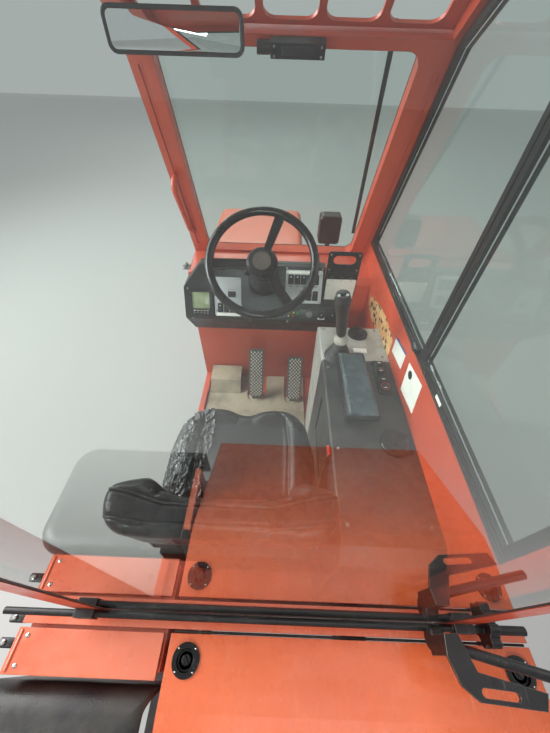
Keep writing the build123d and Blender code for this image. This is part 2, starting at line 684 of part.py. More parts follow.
def make_column():
    """Steering column in its flared shroud with a fluted collar."""
    profile = make_face(Polyline(
        (0, -150), (60, -150), (54, -120), (44, -106), (34, -84), (29, -40), (31, -28), (22, -22), (22, 0), (0, 0),
        close=True))
    shroud = revolve(Plane.XZ * profile, Axis.Z)
    shroud = column_plane(0) * Pos(0, 0, -26.4) * shroud
    cut = side_form(
        [
            (DASH_LOW_Y, DASH_LOW_Z),
            (DASH_HIGH_Y, DASH_HIGH_Z),
            (DASH_HIGH_Y + 300, DASH_HIGH_Z + 32),
            (DASH_HIGH_Y + 300, DASH_LOW_Z - 200),
            (DASH_LOW_Y - 86, DASH_LOW_Z - 200),
        ],
        WHEEL_X - 200, WHEEL_X + 200,
    )
    return shroud - Pos(0, -SEAT_GAP, 0) * cut


def make_stalk():
    """Direction lever on the left of the column, in its switch housing."""
    plane = column_plane(66)
    arm = plane * Pos(-47.3, 0, 0) * Box(32, 34, 26)
    lever = plane * Pos(-56, 0, 0) * Rot(0, -82, 0) * Pos(0, 0, 52) * Cylinder(6, 104)
    grip = Cylinder(11, 46)
    grip = fillet(grip.edges(), 4)
    return arm + lever + plane * Pos(-56, 0, 0) * Rot(0, -82, 0) * Pos(0, 0, 98) * grip


def make_steering_wheel():
    """Rim, three slotted spokes and the hub with its dished cap."""
    ring_r = WHEEL_R - WHEEL_RIM_R
    rim = Torus(ring_r, WHEEL_RIM_R)
    hub_profile = make_face(Polyline(
        (0, -26), (HUB_R - 8, -26), (HUB_R, -16), (HUB_R, 2), (HUB_R - 7, 11), (HUB_R - 20, 14), (16, 14), (14, 11),
        (0, 11), close=True))
    wheel = rim + revolve(Plane.XZ * hub_profile, Axis.Z)
    for angle in SPOKE_ANGLES:
        spoke = Pos(0, 0, -8) * extrude(make_face(Polyline(
            (HUB_R - 6, -12), (ring_r - 2, -17), (ring_r - 2, 17), (HUB_R - 6, 12), close=True)), amount=10)
        spoke -= Pos((HUB_R + ring_r) / 2, 0, -1) * extrude(SlotOverall(ring_r - HUB_R - 34, 12), amount=4)
        wheel += Rot(0, 0, angle) * spoke
    return column_plane(0) * wheel


def make_pedal(x, foot_y, foot_z, head_y, head_z):
    """Tread plate on its pivot block, with a round lower end."""
    lean = atan2(head_y - foot_y, head_z - foot_z)
    length = hypot(head_y - foot_y, head_z - foot_z)
    plane = Plane(origin=(x, foot_y, foot_z), x_dir=(1, 0, 0), z_dir=(0, -cos(lean), sin(lean)))
    plate = Pos(0, length / 2, 0) * extrude(
        RectangleRounded(PEDAL_W, length, PEDAL_W * 0.42), amount=PEDAL_T)
    top = Pos(0, length * 0.75, 0) * extrude(Rectangle(PEDAL_W, length / 2), amount=PEDAL_T)
    pedal = plane * (plate + top)
    block = box(x - 20, x + 20, foot_y, foot_y + 34, FLOOR_Z, foot_z + 18)
    return pedal + block


def make_pedals():
    """Brake pedal and accelerator."""
    return group(*[
        make_pedal(x, foot_y, foot_z, head_y, head_z) for name, x, foot_y, foot_z, head_y, head_z in PEDALS
    ])


# Console

def make_console():
    """Moulded console between the seat and the right wall, with a raised front tray."""
    wall = CAB_RIGHT - WALL_T - SEAT_GAP
    body = side_form(
        [
            (CONSOLE_REAR_Y, FLOOR_Z),
            (CONSOLE_FRONT_Y - 60, FLOOR_Z),
            (CONSOLE_FRONT_Y, CONSOLE_Z - 60),
            (CONSOLE_FRONT_Y, CONSOLE_Z - 12),
            (CONSOLE_FRONT_Y - 12, CONSOLE_Z),
            (CONSOLE_REAR_Y + 30, CONSOLE_Z),
            (CONSOLE_REAR_Y, CONSOLE_Z - 30),
        ],
        CONSOLE_X, wall,
    )
    body = fillet(body.edges().filter_by(Axis.Y).group_by(Axis.X)[0].group_by(Axis.Z)[-1], 8)
    body -= Pos(CONSOLE_X, 40, CONSOLE_Z - 150) * Box(10, 300, 190)
    body = Pos(0, 0, SEAT_GAP) * body
    body += Pos(CUP_X, CUP_Y, CONSOLE_Z + 2) * Cylinder(CUP_R + 6, 4)
    body -= Pos(CUP_X, CUP_Y, CONSOLE_Z - 20) * Cylinder(CUP_R, 90)
    return body


def make_boot():
    """Pleated boot at the foot of the joystick."""
    pleats = 4
    height = 62.0
    points = [(0, 0)]
    for i in range(pleats):
        base = 44 - i * 7
        points.append((base, i * height / pleats))
        points.append((base - 9, (i + 0.75) * height / pleats))
    points.append((14, height))
    points.append((0, height))
    boot = revolve(Plane.XZ * make_face(Polyline(*points, close=True)), Axis.Z)
    return Pos(STICK_X, STICK_Y, CONSOLE_Z + SEAT_GAP) * boot


def make_joystick():
    """Joystick with its moulded grip, leaning a little to the left."""
    base = Vector(STICK_X, STICK_Y, CONSOLE_Z + 62.6)
    lean = Pos(base) * Rot(0, -8, 0)
    stem = lean * Pos(0, 0, 20) * Cylinder(9, 40)
    collar = lean * Pos(0, 0, 8) * Cylinder(18, 14)
    grip = None
    for low, high in zip(GRIP_SECTIONS[:-1], GRIP_SECTIONS[1:]):
        piece = loft([
            Plane.XY.offset(low[0]) * Ellipse(low[1], low[2]), Plane.XY.offset(high[0]) * Ellipse(high[1], high[2]),
        ])
        grip = piece if grip is None else grip + piece
    grip += Pos(0, 0, GRIP_SECTIONS[-1][0]) * Cylinder(9, 4)
    return stem + collar + lean * grip - Pos(base) * Pos(0, 0, -10) * Box(60, 60, 20)


def make_armrest():
    """Padded armrest on its block."""
    half = ARM_W / 2
    block = box(ARM_X - half + 12, ARM_X + half - 8, ARM_REAR_Y + 24, ARM_REAR_Y + 222, CONSOLE_Z + SEAT_GAP, CONSOLE_Z + 34)
    pad = box(ARM_X - half, ARM_X + half, ARM_REAR_Y, ARM_FRONT_Y, CONSOLE_Z + 34, ARM_TOP_Z)
    pad = fillet(pad.edges().filter_by(Axis.Z), 12)
    pad = fillet(pad.edges().group_by(Axis.Z)[-1], 8)
    return block + pad


def rocker_panel():
    """Small panel with two rockers beside the armrest."""
    panel = rounded_plate(40, 134, 6, 5)
    for y in (-34, 34):
        panel += Pos(0, y, 5) * (rounded_plate(26, 48, 4, 6) - Pos(0, 0, 8) * Rot(6, 0, 0) * Box(40, 24, 6))
    return panel


def make_vent():
    """Round louvred air vent."""
    up = (Align.CENTER, Align.CENTER, Align.MIN)
    ring = Cylinder(VENT_R, 8, align=up) - Pos(0, 0, 2) * Cylinder(VENT_R - 6, 10, align=up)
    for i in range(5):
        reach = (i - 2) * 11
        ring += Pos(reach, 0, 4) * Box(3, 2 * ((VENT_R - 6) ** 2 - reach ** 2) ** 0.5 + 1, 5)
    ring += Pos(0, 0, 2) * Cylinder(9, 7, align=up)
    return Pos(VENT_X, -1, CONSOLE_Z + SEAT_GAP) * ring


# Seat

def make_seat_rails():
    """Pedestal with its open front and the fixed rails that the seat slides on."""
    base = side_form(
        [(-200, FLOOR_Z + MAT_T), (90, FLOOR_Z + MAT_T), (70, RAIL_FOOT_Z), (-180, RAIL_FOOT_Z)], SEAT_X - 150, SEAT_X + 150)
    base -= box(SEAT_X - 120, SEAT_X + 120, -170, 91, FLOOR_Z + 30, RAIL_FOOT_Z - 15)
    for side in (-1, 1):
        x = SEAT_X + side * 120
        base += box(x - 14, x + 14, -215, 110, RAIL_FOOT_Z, RAIL_TOP_Z)
    return base


def make_seat_pan():
    """Seat pan with the runners, the slide lever and the backrest brackets."""
    z = RAIL_TOP_Z + SEAT_GAP
    top = CUSHION_Z - CUSHION_T
    pan = box(SEAT_X - 190, SEAT_X + 190, SEAT_REAR_Y + 20, SEAT_FRONT_Y - 40, z + 20, top)
    for side in (-1, 1):
        x = SEAT_X + side * 120
        pan += box(x - 22, x - 16, -200, 95, z - 14, z + 20)
        pan += box(x + 16, x + 22, -200, 95, z - 14, z + 20)
        pan += box(x - 22, x + 22, -200, 95, z, z + 20)
        ear = SEAT_X + side * (SEAT_W / 2 - 8)
        pan += box(ear - 3, ear + 3, BACK_PIVOT_Y - 22, BACK_PIVOT_Y + 22, top - 8, BACK_PIVOT_Z + 20)
        pan += box(SEAT_X + side * 180, ear, BACK_PIVOT_Y - 22, BACK_PIVOT_Y + 22, top - 8, top)
        pan -= Pos(ear, BACK_PIVOT_Y, BACK_PIVOT_Z) * Rot(0, 90, 0) * Cylinder(9.1, 20)
    lever_y = SEAT_FRONT_Y - 50
    pan += rod((SEAT_X - 100, lever_y, z + 26), (SEAT_X - 100, lever_y + 60, z + 22), 5)
    return pan


def make_cushion():
    """Seat cushion with two thigh lobes, raised bolsters and a sunk middle."""
    x0 = SEAT_X - SEAT_W / 2
    x1 = SEAT_X + SEAT_W / 2
    z0 = CUSHION_Z - CUSHION_T + SEAT_GAP
    cushion = plan_form(
        [
            (x0 + 12, SEAT_REAR_Y + 88), (x0, 0), (x0 + 14, SEAT_FRONT_Y - 70), (x0 + 46, SEAT_FRONT_Y - 24),
            (x0 + 92, SEAT_FRONT_Y), (SEAT_X - 70, SEAT_FRONT_Y), (SEAT_X - 30, SEAT_FRONT_Y - 12),
            (SEAT_X, SEAT_FRONT_Y - 20), (SEAT_X + 30, SEAT_FRONT_Y - 12), (SEAT_X + 70, SEAT_FRONT_Y),
            (x1 - 92, SEAT_FRONT_Y), (x1 - 46, SEAT_FRONT_Y - 24), (x1 - 14, SEAT_FRONT_Y - 70), (x1, 0),
            (x1 - 12, SEAT_REAR_Y + 88),
        ],
        z0, CUSHION_Z,
    )
    cushion = chamfer(cushion.edges().group_by(Axis.Z)[-1], 14)
    cushion -= box(SEAT_X - 125, SEAT_X + 125, SEAT_REAR_Y, SEAT_FRONT_Y - 60, CUSHION_Z - 18, CUSHION_Z + 1)
    return cushion


def make_backrest():
    """Low wrap-round backrest with two side wings, on its pivot tube."""
    half = BACK_W / 2
    rear = BACK_FRONT - BACK_T
    wing_face = BACK_FRONT + BACK_WING
    plan = make_face(Polyline(
        (-half, rear), (half, rear), (half, wing_face), (half - BACK_WING_W, wing_face),
        (half - BACK_WING_W - 24, BACK_FRONT), (-half + BACK_WING_W + 24, BACK_FRONT),
        (-half + BACK_WING_W, wing_face), (-half, wing_face), close=True))
    upper = Pos(0, 0, BACK_WAIST) * extrude(plan, amount=BACK_H - BACK_WAIST, dir=(0, 0, 1))
    outer = [e for e in upper.edges().filter_by(Axis.Z) if abs(e.center().X) > half - 1]
    upper = fillet([e for e in outer if e.center().Y < BACK_FRONT - BACK_T / 2], BACK_CORNER_R)
    tips = [e for e in upper.edges().filter_by(Axis.Z) if e.center().Y > wing_face - 1]
    upper = fillet(tips, BACK_WING * 0.45)
    upper = fillet(upper.edges().group_by(Axis.Z)[-1], 14)
    inner = half - EAR_ROOM
    lower = box(-inner, inner, rear + 4, BACK_FRONT, -BACK_FOOT, BACK_WAIST + 1)
    tube = Rot(0, 90, 0) * Cylinder(9, SEAT_W - 12)
    return Pos(SEAT_X, BACK_PIVOT_Y, BACK_PIVOT_Z) * Rot(BACK_TILT, 0, 0) * (upper + lower + tube)


def make_belt_buckle():
    """Belt buckle on its stalk, between the seat and the console."""
    x = CONSOLE_X - SEAT_GAP
    head = box(x - 10, x, -42, -8, CUSHION_Z + 16, CUSHION_Z + 68)
    head = chamfer(head.edges().group_by(Axis.Z)[-1], 3)
    stalk = box(x - 6, x, -32, -18, CUSHION_Z - 170, CUSHION_Z + 16)
    return head + stalk


# Fittings inside and outside

def make_mirror_arm():
    """Arm that carries the inside mirror from the header."""
    foot = SCREEN * Pos(MIRROR_X, SCREEN_LEN - HEADER_H / 2, PILLAR_D + 3) * Box(44, 26, 6)
    start = SCREEN.from_local_coords((MIRROR_X, SCREEN_LEN - HEADER_H / 2, PILLAR_D + 3))
    ball = (MIRROR_X, MIRROR_Y + MIRROR_BALL_R + SEAT_GAP, MIRROR_Z)
    return foot + rod((start.X, start.Y, start.Z), ball, 5) + Pos(*ball) * Sphere(MIRROR_BALL_R)


def make_mirror():
    """Inside mirror: a housing with round corners and its raised frame."""
    plane = Plane(origin=(MIRROR_X, MIRROR_Y, MIRROR_Z), x_dir=(1, 0, 0), z_dir=(0, -1, 0))
    housing = rounded_plate(MIRROR_W, MIRROR_H, 16, 14)
    housing -= Pos(0, 0, 12) * rounded_plate(MIRROR_W - 12, MIRROR_H - 12, 11, 4)
    return plane * housing


def make_grab_handle():
    """Bent handle on the left pillar."""
    x = CAB_LEFT + 20
    top_z = 1240.0
    low_z = 1010.0
    points = [
        (x, inner_screen_y(top_z, PILLAR_D) + 2, top_z),
        (x, inner_screen_y(top_z, PILLAR_D) - 48, top_z - 16),
        (x, inner_screen_y(low_z, PILLAR_D) - 52, low_z + 36),
        (x, inner_screen_y(low_z, PILLAR_D) + 2, low_z),
    ]
    path = FilletPolyline(*points, radius=24)
    section = Plane(origin=path @ 0, z_dir=path % 0) * Circle(9)
    return sweep(section, path=path) - screen_slab()


def make_card_holder():
    """Black metal bracket with an oblong hole, and the board that carries the cards."""
    plane = Plane(origin=(CARD_X, FRONT_WALL_Y - 26, 0), x_dir=(1, 0, 0), z_dir=(0, -1, 0))
    plate = Pos(0, CARD_MID_Z) * extrude(RectangleRounded(CARD_W, CARD_H, 10), amount=4)
    plate -= Pos(0, CARD_MID_Z + CARD_H / 2 - 32, -1) * extrude(SlotOverall(CARD_W - 40, 34), amount=8)
    board = Pos(0, CARD_MID_Z - 30, 4) * rounded_plate(CARD_W - 14, CARD_H * 0.5, 4, 5)
    foot = box(CARD_X - 50, CARD_X + 50, FRONT_WALL_Y - 28, FRONT_WALL_Y - SEAT_GAP, 850, 856)
    return plane * (plate + board) + foot


def make_wiper():
    """Wiper arm and blade, parked along the right pillar."""
    place = SCREEN * Pos(WIPER_X, WIPER_UP, 0)
    swing = place * Rot(0, 0, WIPER_ANGLE)
    pivot = place * Pos(0, 0, -BOSS_H - SEAT_GAP - 6) * Cylinder(11, 12)
    arm = swing * Pos(0, -WIPER_LEN / 2, -BOSS_H - SEAT_GAP - 3) * Box(12, WIPER_LEN, 6)
    blade = swing * Pos(0, -WIPER_LEN * 0.66, -9.5) * Box(8, WIPER_LEN * 0.6, 9)
    spindle = place * Pos(0, 0, -BOSS_H / 2 - 2) * Cylinder(SPINDLE_R, BOSS_H - 1)
    return pivot + arm + blade + spindle


def make_wiper_motor():
    """Wiper motor box under the header with its round end."""
    motor = Pos(0, -4, 0) * Box(120, 28, 24)
    motor += Pos(-70, -4, 0) * Rot(0, 90, 0) * Cylinder(12, 40)
    return SCREEN * Pos(WIPER_MOTOR_X, WIPER_UP - 2, PILLAR_D + 12 + SEAT_GAP) * motor


def make_corner_lamp():
    """Lamp on the cowl at the foot of the windscreen, with its lens rim and bracket."""
    head = box(-46, 46, 0, 56, 0, 118)
    head = fillet(head.edges().filter_by(Axis.Y), 14)
    head = chamfer(head.edges().group_by(Axis.Y)[0], 4)
    head -= box(-36, 36, 52, 57, 10, 108)
    foot = box(-9, 9, 18, 34, -34, 2)
    return Pos(LAMP_X, SCREEN_FOOT_Y + 16, SCREEN_FOOT_Z + 12) * (head + foot)


def make_front_cover():
    """Sheet cover on the chassis ahead of the cab, open below."""
    def form(t):
        body = box(COVER_LEFT_X + t, COVER_RIGHT_X - t, COVER_REAR_Y + t, COVER_FRONT_Y - t,
                   BEAM_H - (1 if t else 0), COVER_TOP_Z - t)
        body = fillet(body.edges().filter_by(Axis.Z).group_by(Axis.Y)[-1], 45 - t)
        return fillet(body.edges().group_by(Axis.Z)[-1], 25 - t)
    return form(0) - form(COVER_T)


# Rear deck

def make_deck():
    """Deck box under the hood, the strip before it and the tray under the flap."""
    x0 = HOOD_LEFT_X + 10
    x1 = HOOD_RIGHT_X - 10
    y0 = HOOD_REAR_Y + 12
    y1 = HOOD_FRONT_Y - 10
    top = DECK_Z - HOOD_T - 14
    outline = [(y0, BEAM_H), (y1, BEAM_H), (y1, top), (HOOD_BEND_Y, top), (y0, HOOD_REAR_Z - 16)]
    outer = side_form(outline, x0, x1)
    inner_outline = [
        (y0 + DECK_WALL, BEAM_H + DECK_WALL), (y1 - DECK_WALL, BEAM_H + DECK_WALL), (y1 - DECK_WALL, top + 40),
        (y0 + DECK_WALL, top + 40),
    ]
    deck = outer - side_form(inner_outline, x0 + DECK_WALL, x1 - DECK_WALL)
    strip = box(FLAP_LEFT_X, HOOD_RIGHT_X, HOOD_FRONT_Y + HOOD_GAP, DECK_STRIP_FRONT, DECK_Z - 60, DECK_Z)
    hollow = box(FLAP_LEFT_X - 1, HOOD_RIGHT_X + 1, HOOD_FRONT_Y + HOOD_GAP - 1, DECK_STRIP_FRONT - 5,
                 DECK_Z - 61, DECK_Z - 4)
    strip -= hollow
    deck += strip
    for x in (x0 + 40, x1 - 60):
        deck += box(x, x + 20, y1 - DECK_WALL, DECK_STRIP_FRONT, DECK_Z - 60, DECK_Z - 54)
    tray = box(FLAP_LEFT_X + 10, HOOD_LEFT_X - 12, FLAP_REAR_Y + 10, DECK_STRIP_FRONT, DECK_Z - 120, DECK_Z - 18)
    tray -= box(FLAP_LEFT_X + 14, HOOD_LEFT_X - 16, FLAP_REAR_Y + 14, HOOD_FRONT_Y - 14, DECK_Z - 116, DECK_Z)
    tray += box(HOOD_LEFT_X - 13, x0 + 1, FLAP_REAR_Y + 10, DECK_STRIP_FRONT, DECK_Z - 120, DECK_Z - 112)
    deck += tray
    shelf_z = DECK_Z - 10 - FENDER_T - SEAT_GAP
    shelf = box(FENDER_LEFT_X + 80, HOOD_LEFT_X - 10, FENDER_REAR_Y + 60, FENDER_FRONT_Y - 60, shelf_z - 6, shelf_z)
    shelf += box(HOOD_LEFT_X - 16, HOOD_LEFT_X - 10, FENDER_REAR_Y + 60, FENDER_FRONT_Y - 60, 560, shelf_z)
    shelf += box(HOOD_LEFT_X - 16, x0 + 1, FENDER_REAR_Y + 60, FENDER_FRONT_Y - 60, 560, 566)
    deck += shelf
    for x in HOOD_HINGE_XS:
        for side in (-1, 1):
            lug = side_form(
                [
                    (y0 + 1, HOOD_HINGE_Z - 34), (y0 + 1, HOOD_HINGE_Z - 12), (HOOD_HINGE_Y + 12, HOOD_HINGE_Z - 12),
                    (HOOD_HINGE_Y + 9, HOOD_HINGE_Z + 8), (HOOD_HINGE_Y - 9, HOOD_HINGE_Z + 8), (HOOD_HINGE_Y - 9, HOOD_HINGE_Z - 20),
                ],
                x + side * 25 - 5, x + side * 25 + 5,
            )
            deck += lug
        deck += Pos(x, HOOD_HINGE_Y, HOOD_HINGE_Z) * Rot(0, 90, 0) * Cylinder(HOOD_HINGE_PIN_R, 56)
    for x in FLAP_HINGE_XS:
        for side in (-1, 1):
            deck += box(x + side * 20 - 4, x + side * 20 + 4, FLAP_HINGE_Y - 5, FLAP_HINGE_Y + 4, DECK_Z - 20, FLAP_HINGE_Z + 3.5)
        deck += Pos(x, FLAP_HINGE_Y, FLAP_HINGE_Z) * Rot(0, 90, 0) * Cylinder(FLAP_PIN_R, 44)
    return deck


def make_hood():
    """Hinged rear hood: flat top, bend, slope and skirts, with holes for the latches."""
    def profile(drop):
        return [
            (HOOD_REAR_Y + drop, HOOD_REAR_Z - 90),
            (HOOD_REAR_Y + drop, HOOD_REAR_Z - drop * 0.6),
            (HOOD_BEND_Y - 20 + drop * 0.2, DECK_Z - drop - 4),
            (HOOD_BEND_Y + 12, DECK_Z - drop),
            (HOOD_FRONT_Y - drop, DECK_Z - drop),
            (HOOD_FRONT_Y - drop, DECK_Z - HOOD_SKIRT),
        ]
    outer = side_form(profile(0) + [], HOOD_LEFT_X, HOOD_RIGHT_X)
    inner = side_form(
        [(y, z) for y, z in profile(HOOD_T)][1:-1]
        + [(HOOD_FRONT_Y - HOOD_T, DECK_Z - HOOD_SKIRT - 200), (HOOD_REAR_Y + HOOD_T, HOOD_REAR_Z - 300)],
        HOOD_LEFT_X + HOOD_T, HOOD_RIGHT_X - HOOD_T)
    hood = outer - inner
    keep = side_form(
        [
            (HOOD_REAR_Y, HOOD_REAR_Z - 90), (HOOD_REAR_Y, DECK_Z + 20), (HOOD_FRONT_Y, DECK_Z + 20),
            (HOOD_FRONT_Y, DECK_Z - HOOD_SKIRT), (HOOD_BEND_Y, DECK_Z - HOOD_SKIRT),
            (HOOD_REAR_Y + 40, HOOD_REAR_Z - 90),
        ],
        HOOD_LEFT_X - 1, HOOD_RIGHT_X + 1,
    )
    hood = hood & keep
    for x in LATCH_XS:
        hood -= Pos(x, HOOD_FRONT_Y - LATCH_BACK, DECK_Z) * Cylinder(LATCH_R, 40)
    for x in HOOD_HINGE_XS:
        hood -= box(x - 40, x + 40, HOOD_REAR_Y - 30, HOOD_REAR_Y + 12, HOOD_HINGE_Z - 40, HOOD_HINGE_Z + 18)
        knuckle = Pos(x, HOOD_HINGE_Y, HOOD_HINGE_Z) * Rot(0, 90, 0) * Cylinder(9, 36)
        leaf = box(x - 18, x + 18, HOOD_REAR_Y, HOOD_REAR_Y + HOOD_T, HOOD_HINGE_Z, HOOD_HINGE_Z + 20)
        hood += knuckle + leaf
        hood -= Pos(x, HOOD_HINGE_Y, HOOD_HINGE_Z) * Rot(0, 90, 0) * Cylinder(HOOD_HINGE_PIN_R + RUN_FIT, 90)
    return hood


def make_latches():
    """Round recessed latches of the hood."""
    latches = []
    for x in LATCH_XS:
        cup = Cylinder(LATCH_R - SEAT_GAP, 14, align=(Align.CENTER, Align.CENTER, Align.MAX))
        cup -= Pos(0, 0, 1) * Cylinder(LATCH_R - 5, 10, align=(Align.CENTER, Align.CENTER, Align.MAX))
        rim = Pos(0, 0, SEAT_GAP) * (
            Cylinder(LATCH_R + 4, 2.5, align=(Align.CENTER, Align.CENTER, Align.MIN))
            - Cylinder(LATCH_R - 5, 10))
        cup += Pos(0, 0, -11) * Cylinder(6, 9, align=(Align.CENTER, Align.CENTER, Align.MIN))
        latches.append(Pos(x, HOOD_FRONT_Y - LATCH_BACK, DECK_Z) * (cup + rim))
    return group(*latches)


def make_flap():
    """Flap on the left of the hood with folded edges."""
    x1 = HOOD_LEFT_X - FLAP_GAP
    flap = box(FLAP_LEFT_X, x1, FLAP_REAR_Y, HOOD_FRONT_Y, DECK_Z - 12 + 2, DECK_Z)
    flap -= box(FLAP_LEFT_X + 3, x1 - 3, FLAP_REAR_Y + 3, HOOD_FRONT_Y - 3, DECK_Z - 30, DECK_Z - 3)
    for x in FLAP_HINGE_XS:
        flap -= box(x - 29, x + 29, HOOD_FRONT_Y - 4, HOOD_FRONT_Y + 1, DECK_Z - 30, DECK_Z - 3)
    for x in FLAP_HINGE_XS:
        flap += Pos(x, FLAP_HINGE_Y, FLAP_HINGE_Z) * Rot(0, 90, 0) * Cylinder(4.5, 28)
        flap += box(x - 14, x + 14, FLAP_HINGE_Y - 2, FLAP_HINGE_Y + 2, FLAP_HINGE_Z + 2, DECK_Z - 2)
        flap -= Pos(x, FLAP_HINGE_Y, FLAP_HINGE_Z) * Rot(0, 90, 0) * Cylinder(FLAP_PIN_R + RUN_FIT, 60)
    return flap


def make_fender():
    """Black moulded fender on the left rear, open below."""
    def form(t):
        body = box(FENDER_LEFT_X + t, FENDER_RIGHT_X + (60 if t else 0), FENDER_REAR_Y + t, FENDER_FRONT_Y - t,
                   DECK_Z - FENDER_H - (1 if t else 0), DECK_Z - 10 - t)
        body = fillet(body.edges().filter_by(Axis.Z).group_by(Axis.X)[0], 60 - t)
        return fillet(body.edges().group_by(Axis.Z)[-1], 40 - t)
    return form(0) - form(FENDER_T)


def make_rear_bar():
    """Round bar along the foot of the rear window, its saddles and the clamp at its right end."""
    bar = rod((BAR_LEFT_X, BAR_Y, BAR_Z), (BAR_RIGHT_X, BAR_Y, BAR_Z), BAR_R)
    for x in (CAB_LEFT + 25, CAB_RIGHT - 25):
        bar += box(x - 18, x + 18, BAR_Y - BAR_R - 2, REAR_Y - SEAT_GAP, BAR_Z - 14, BAR_Z + 14)
    return bar + bar_clamp() + clamp_knob()


def bar_clamp():
    """Clamp on the bar: round collar, upright, slotted arm plate and the tube below it."""
    collar = Pos(CLAMP_X, COLLAR_Y, BAR_Z) * Rot(0, 90, 0) * Cylinder(COLLAR_R, 26)
    collar = chamfer(collar.edges().filter_by(GeomType.CIRCLE), 3)
    upright = box(CLAMP_X - 13, CLAMP_X + 11, COLLAR_Y - 25, COLLAR_Y + 3, BAR_Z, ARM_PLATE_Z + 5)
    plate = plan_form(
        [
            (CLAMP_X - 17, COLLAR_Y - 26), (CLAMP_X - 6, COLLAR_Y - 60), (CLAMP_X + 17, COLLAR_Y - 77),
            (CLAMP_X + 116, COLLAR_Y - 84), (CLAMP_X + 127, COLLAR_Y - 64), (CLAMP_X + 26, COLLAR_Y - 43),
            (CLAMP_X + 11, COLLAR_Y + 3), (CLAMP_X - 13, COLLAR_Y + 3),
        ],
        ARM_PLATE_Z, ARM_PLATE_Z + 5,
    )
    plate -= Pos(CLAMP_X + 52, COLLAR_Y - 68, ARM_PLATE_Z - 1) * Rot(0, 0, -4) * extrude(SlotOverall(58, 11), amount=8)
    tube = rod((CLAMP_X, COLLAR_Y - 14, ARM_PLATE_Z - 4), (CLAMP_X + 180, COLLAR_Y - 52, ARM_PLATE_Z - 10), 8)
    return collar + upright + plate + tube


def clamp_knob():
    """Lobed hand knob on the threaded end of the bar."""
    knob = Cylinder(KNOB_R - 7, 18)
    for i in range(6):
        knob += Rot(0, 0, 60 * i) * Pos(KNOB_R - 8, 0, 0) * Cylinder(8, 18)
    stud = Pos(0, 0, 36) * Cylinder(7.5, 70)
    return Pos(KNOB_X, BAR_Y, BAR_Z) * Rot(0, 90, 0) * (knob + stud)


NODES = {
    "subframe": make_subframe,
    "isolators": make_isolators,
    "cab_floor": make_floor,
    "floor_mat": make_mat,
    "front_wall": make_front_wall,
    "front_frame": make_front_frame,
    "right_wall": make_right_wall,
    "rear_frame": make_rear_frame,
    "roof_frame": make_roof_frame,
    "roof_panel": make_roof_panel,
    "roof_grille": make_roof_grille,
    "side_window_frame": make_side_window_frame,
    "window_seals": make_window_seals,
    "window_glass": make_window_glass,
    "dash": make_dash,
    "dash_display": make_display,
    "switch_panels": make_switch_panels,
    "steering_column": make_column,
    "column_lever": make_stalk,
    "steering_wheel": make_steering_wheel,
    "pedals": make_pedals,
    "side_console": make_console,
    "joystick_boot": make_boot,
    "joystick": make_joystick,
    "armrest": make_armrest,
    "air_vent": make_vent,
    "seat_pedestal": make_seat_rails,
    "seat_pan": make_seat_pan,
    "seat_cushion": make_cushion,
    "backrest": make_backrest,
    "belt_buckle": make_belt_buckle,
    "mirror_arm": make_mirror_arm,
    "inside_mirror": make_mirror,
    "grab_handle": make_grab_handle,
    "card_holder": make_card_holder,
    "wiper": make_wiper,
    "wiper_motor": make_wiper_motor,
    "corner_lamp": make_corner_lamp,
    "front_cover": make_front_cover,
    "rear_deck": make_deck,
    "rear_hood": make_hood,
    "hood_latches": make_latches,
    "left_flap": make_flap,
    "rear_fender": make_fender,
    "rear_bar": make_rear_bar,
}

for name, make in NODES.items():
    save(name, make())
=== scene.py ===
import logging
import math
from dataclasses import dataclass
from enum import Enum
from typing import Iterable, Sequence

import bmesh
import bpy
from mathutils import Matrix, Vector, noise
from mathutils.bvhtree import BVHTree
from mathutils.kdtree import KDTree


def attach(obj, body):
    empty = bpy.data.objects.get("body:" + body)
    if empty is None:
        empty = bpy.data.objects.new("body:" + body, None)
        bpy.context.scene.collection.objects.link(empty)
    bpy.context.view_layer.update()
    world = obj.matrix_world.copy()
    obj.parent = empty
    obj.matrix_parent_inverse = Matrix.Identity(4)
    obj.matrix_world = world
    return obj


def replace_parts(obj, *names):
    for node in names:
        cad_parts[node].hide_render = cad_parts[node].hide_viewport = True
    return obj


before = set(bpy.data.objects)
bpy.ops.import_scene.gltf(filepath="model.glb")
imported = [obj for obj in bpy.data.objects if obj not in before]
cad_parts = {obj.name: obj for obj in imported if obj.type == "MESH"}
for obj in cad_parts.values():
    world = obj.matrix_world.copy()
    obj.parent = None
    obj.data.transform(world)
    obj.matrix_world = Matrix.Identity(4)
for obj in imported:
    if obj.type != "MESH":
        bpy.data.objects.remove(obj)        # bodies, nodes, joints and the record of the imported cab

log = logging.getLogger("cab")
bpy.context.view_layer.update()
Socket = bpy.types.NodeSocket
Point = Sequence[float]
Outline = list[tuple[float, float]]
Colour = tuple[float, ...]


def srgb(code: str, share: float = 1.0) -> Colour:
    """Turns a hex colour into the linear colour that a shader takes.

    Args:
        code: The colour as it looks, such as "c8502f".
        share: Share of its light that is left.

    Returns:
        Linear red, green, blue and an alpha of 1.
    """
    parts = [int(code[i:i + 2], 16) / 255 for i in (0, 2, 4)]
    linear = [c / 12.92 if c <= 0.04045 else ((c + 0.055) / 1.055) ** 2.4 for c in parts]
    return tuple(c * share for c in linear) + (1.0,)


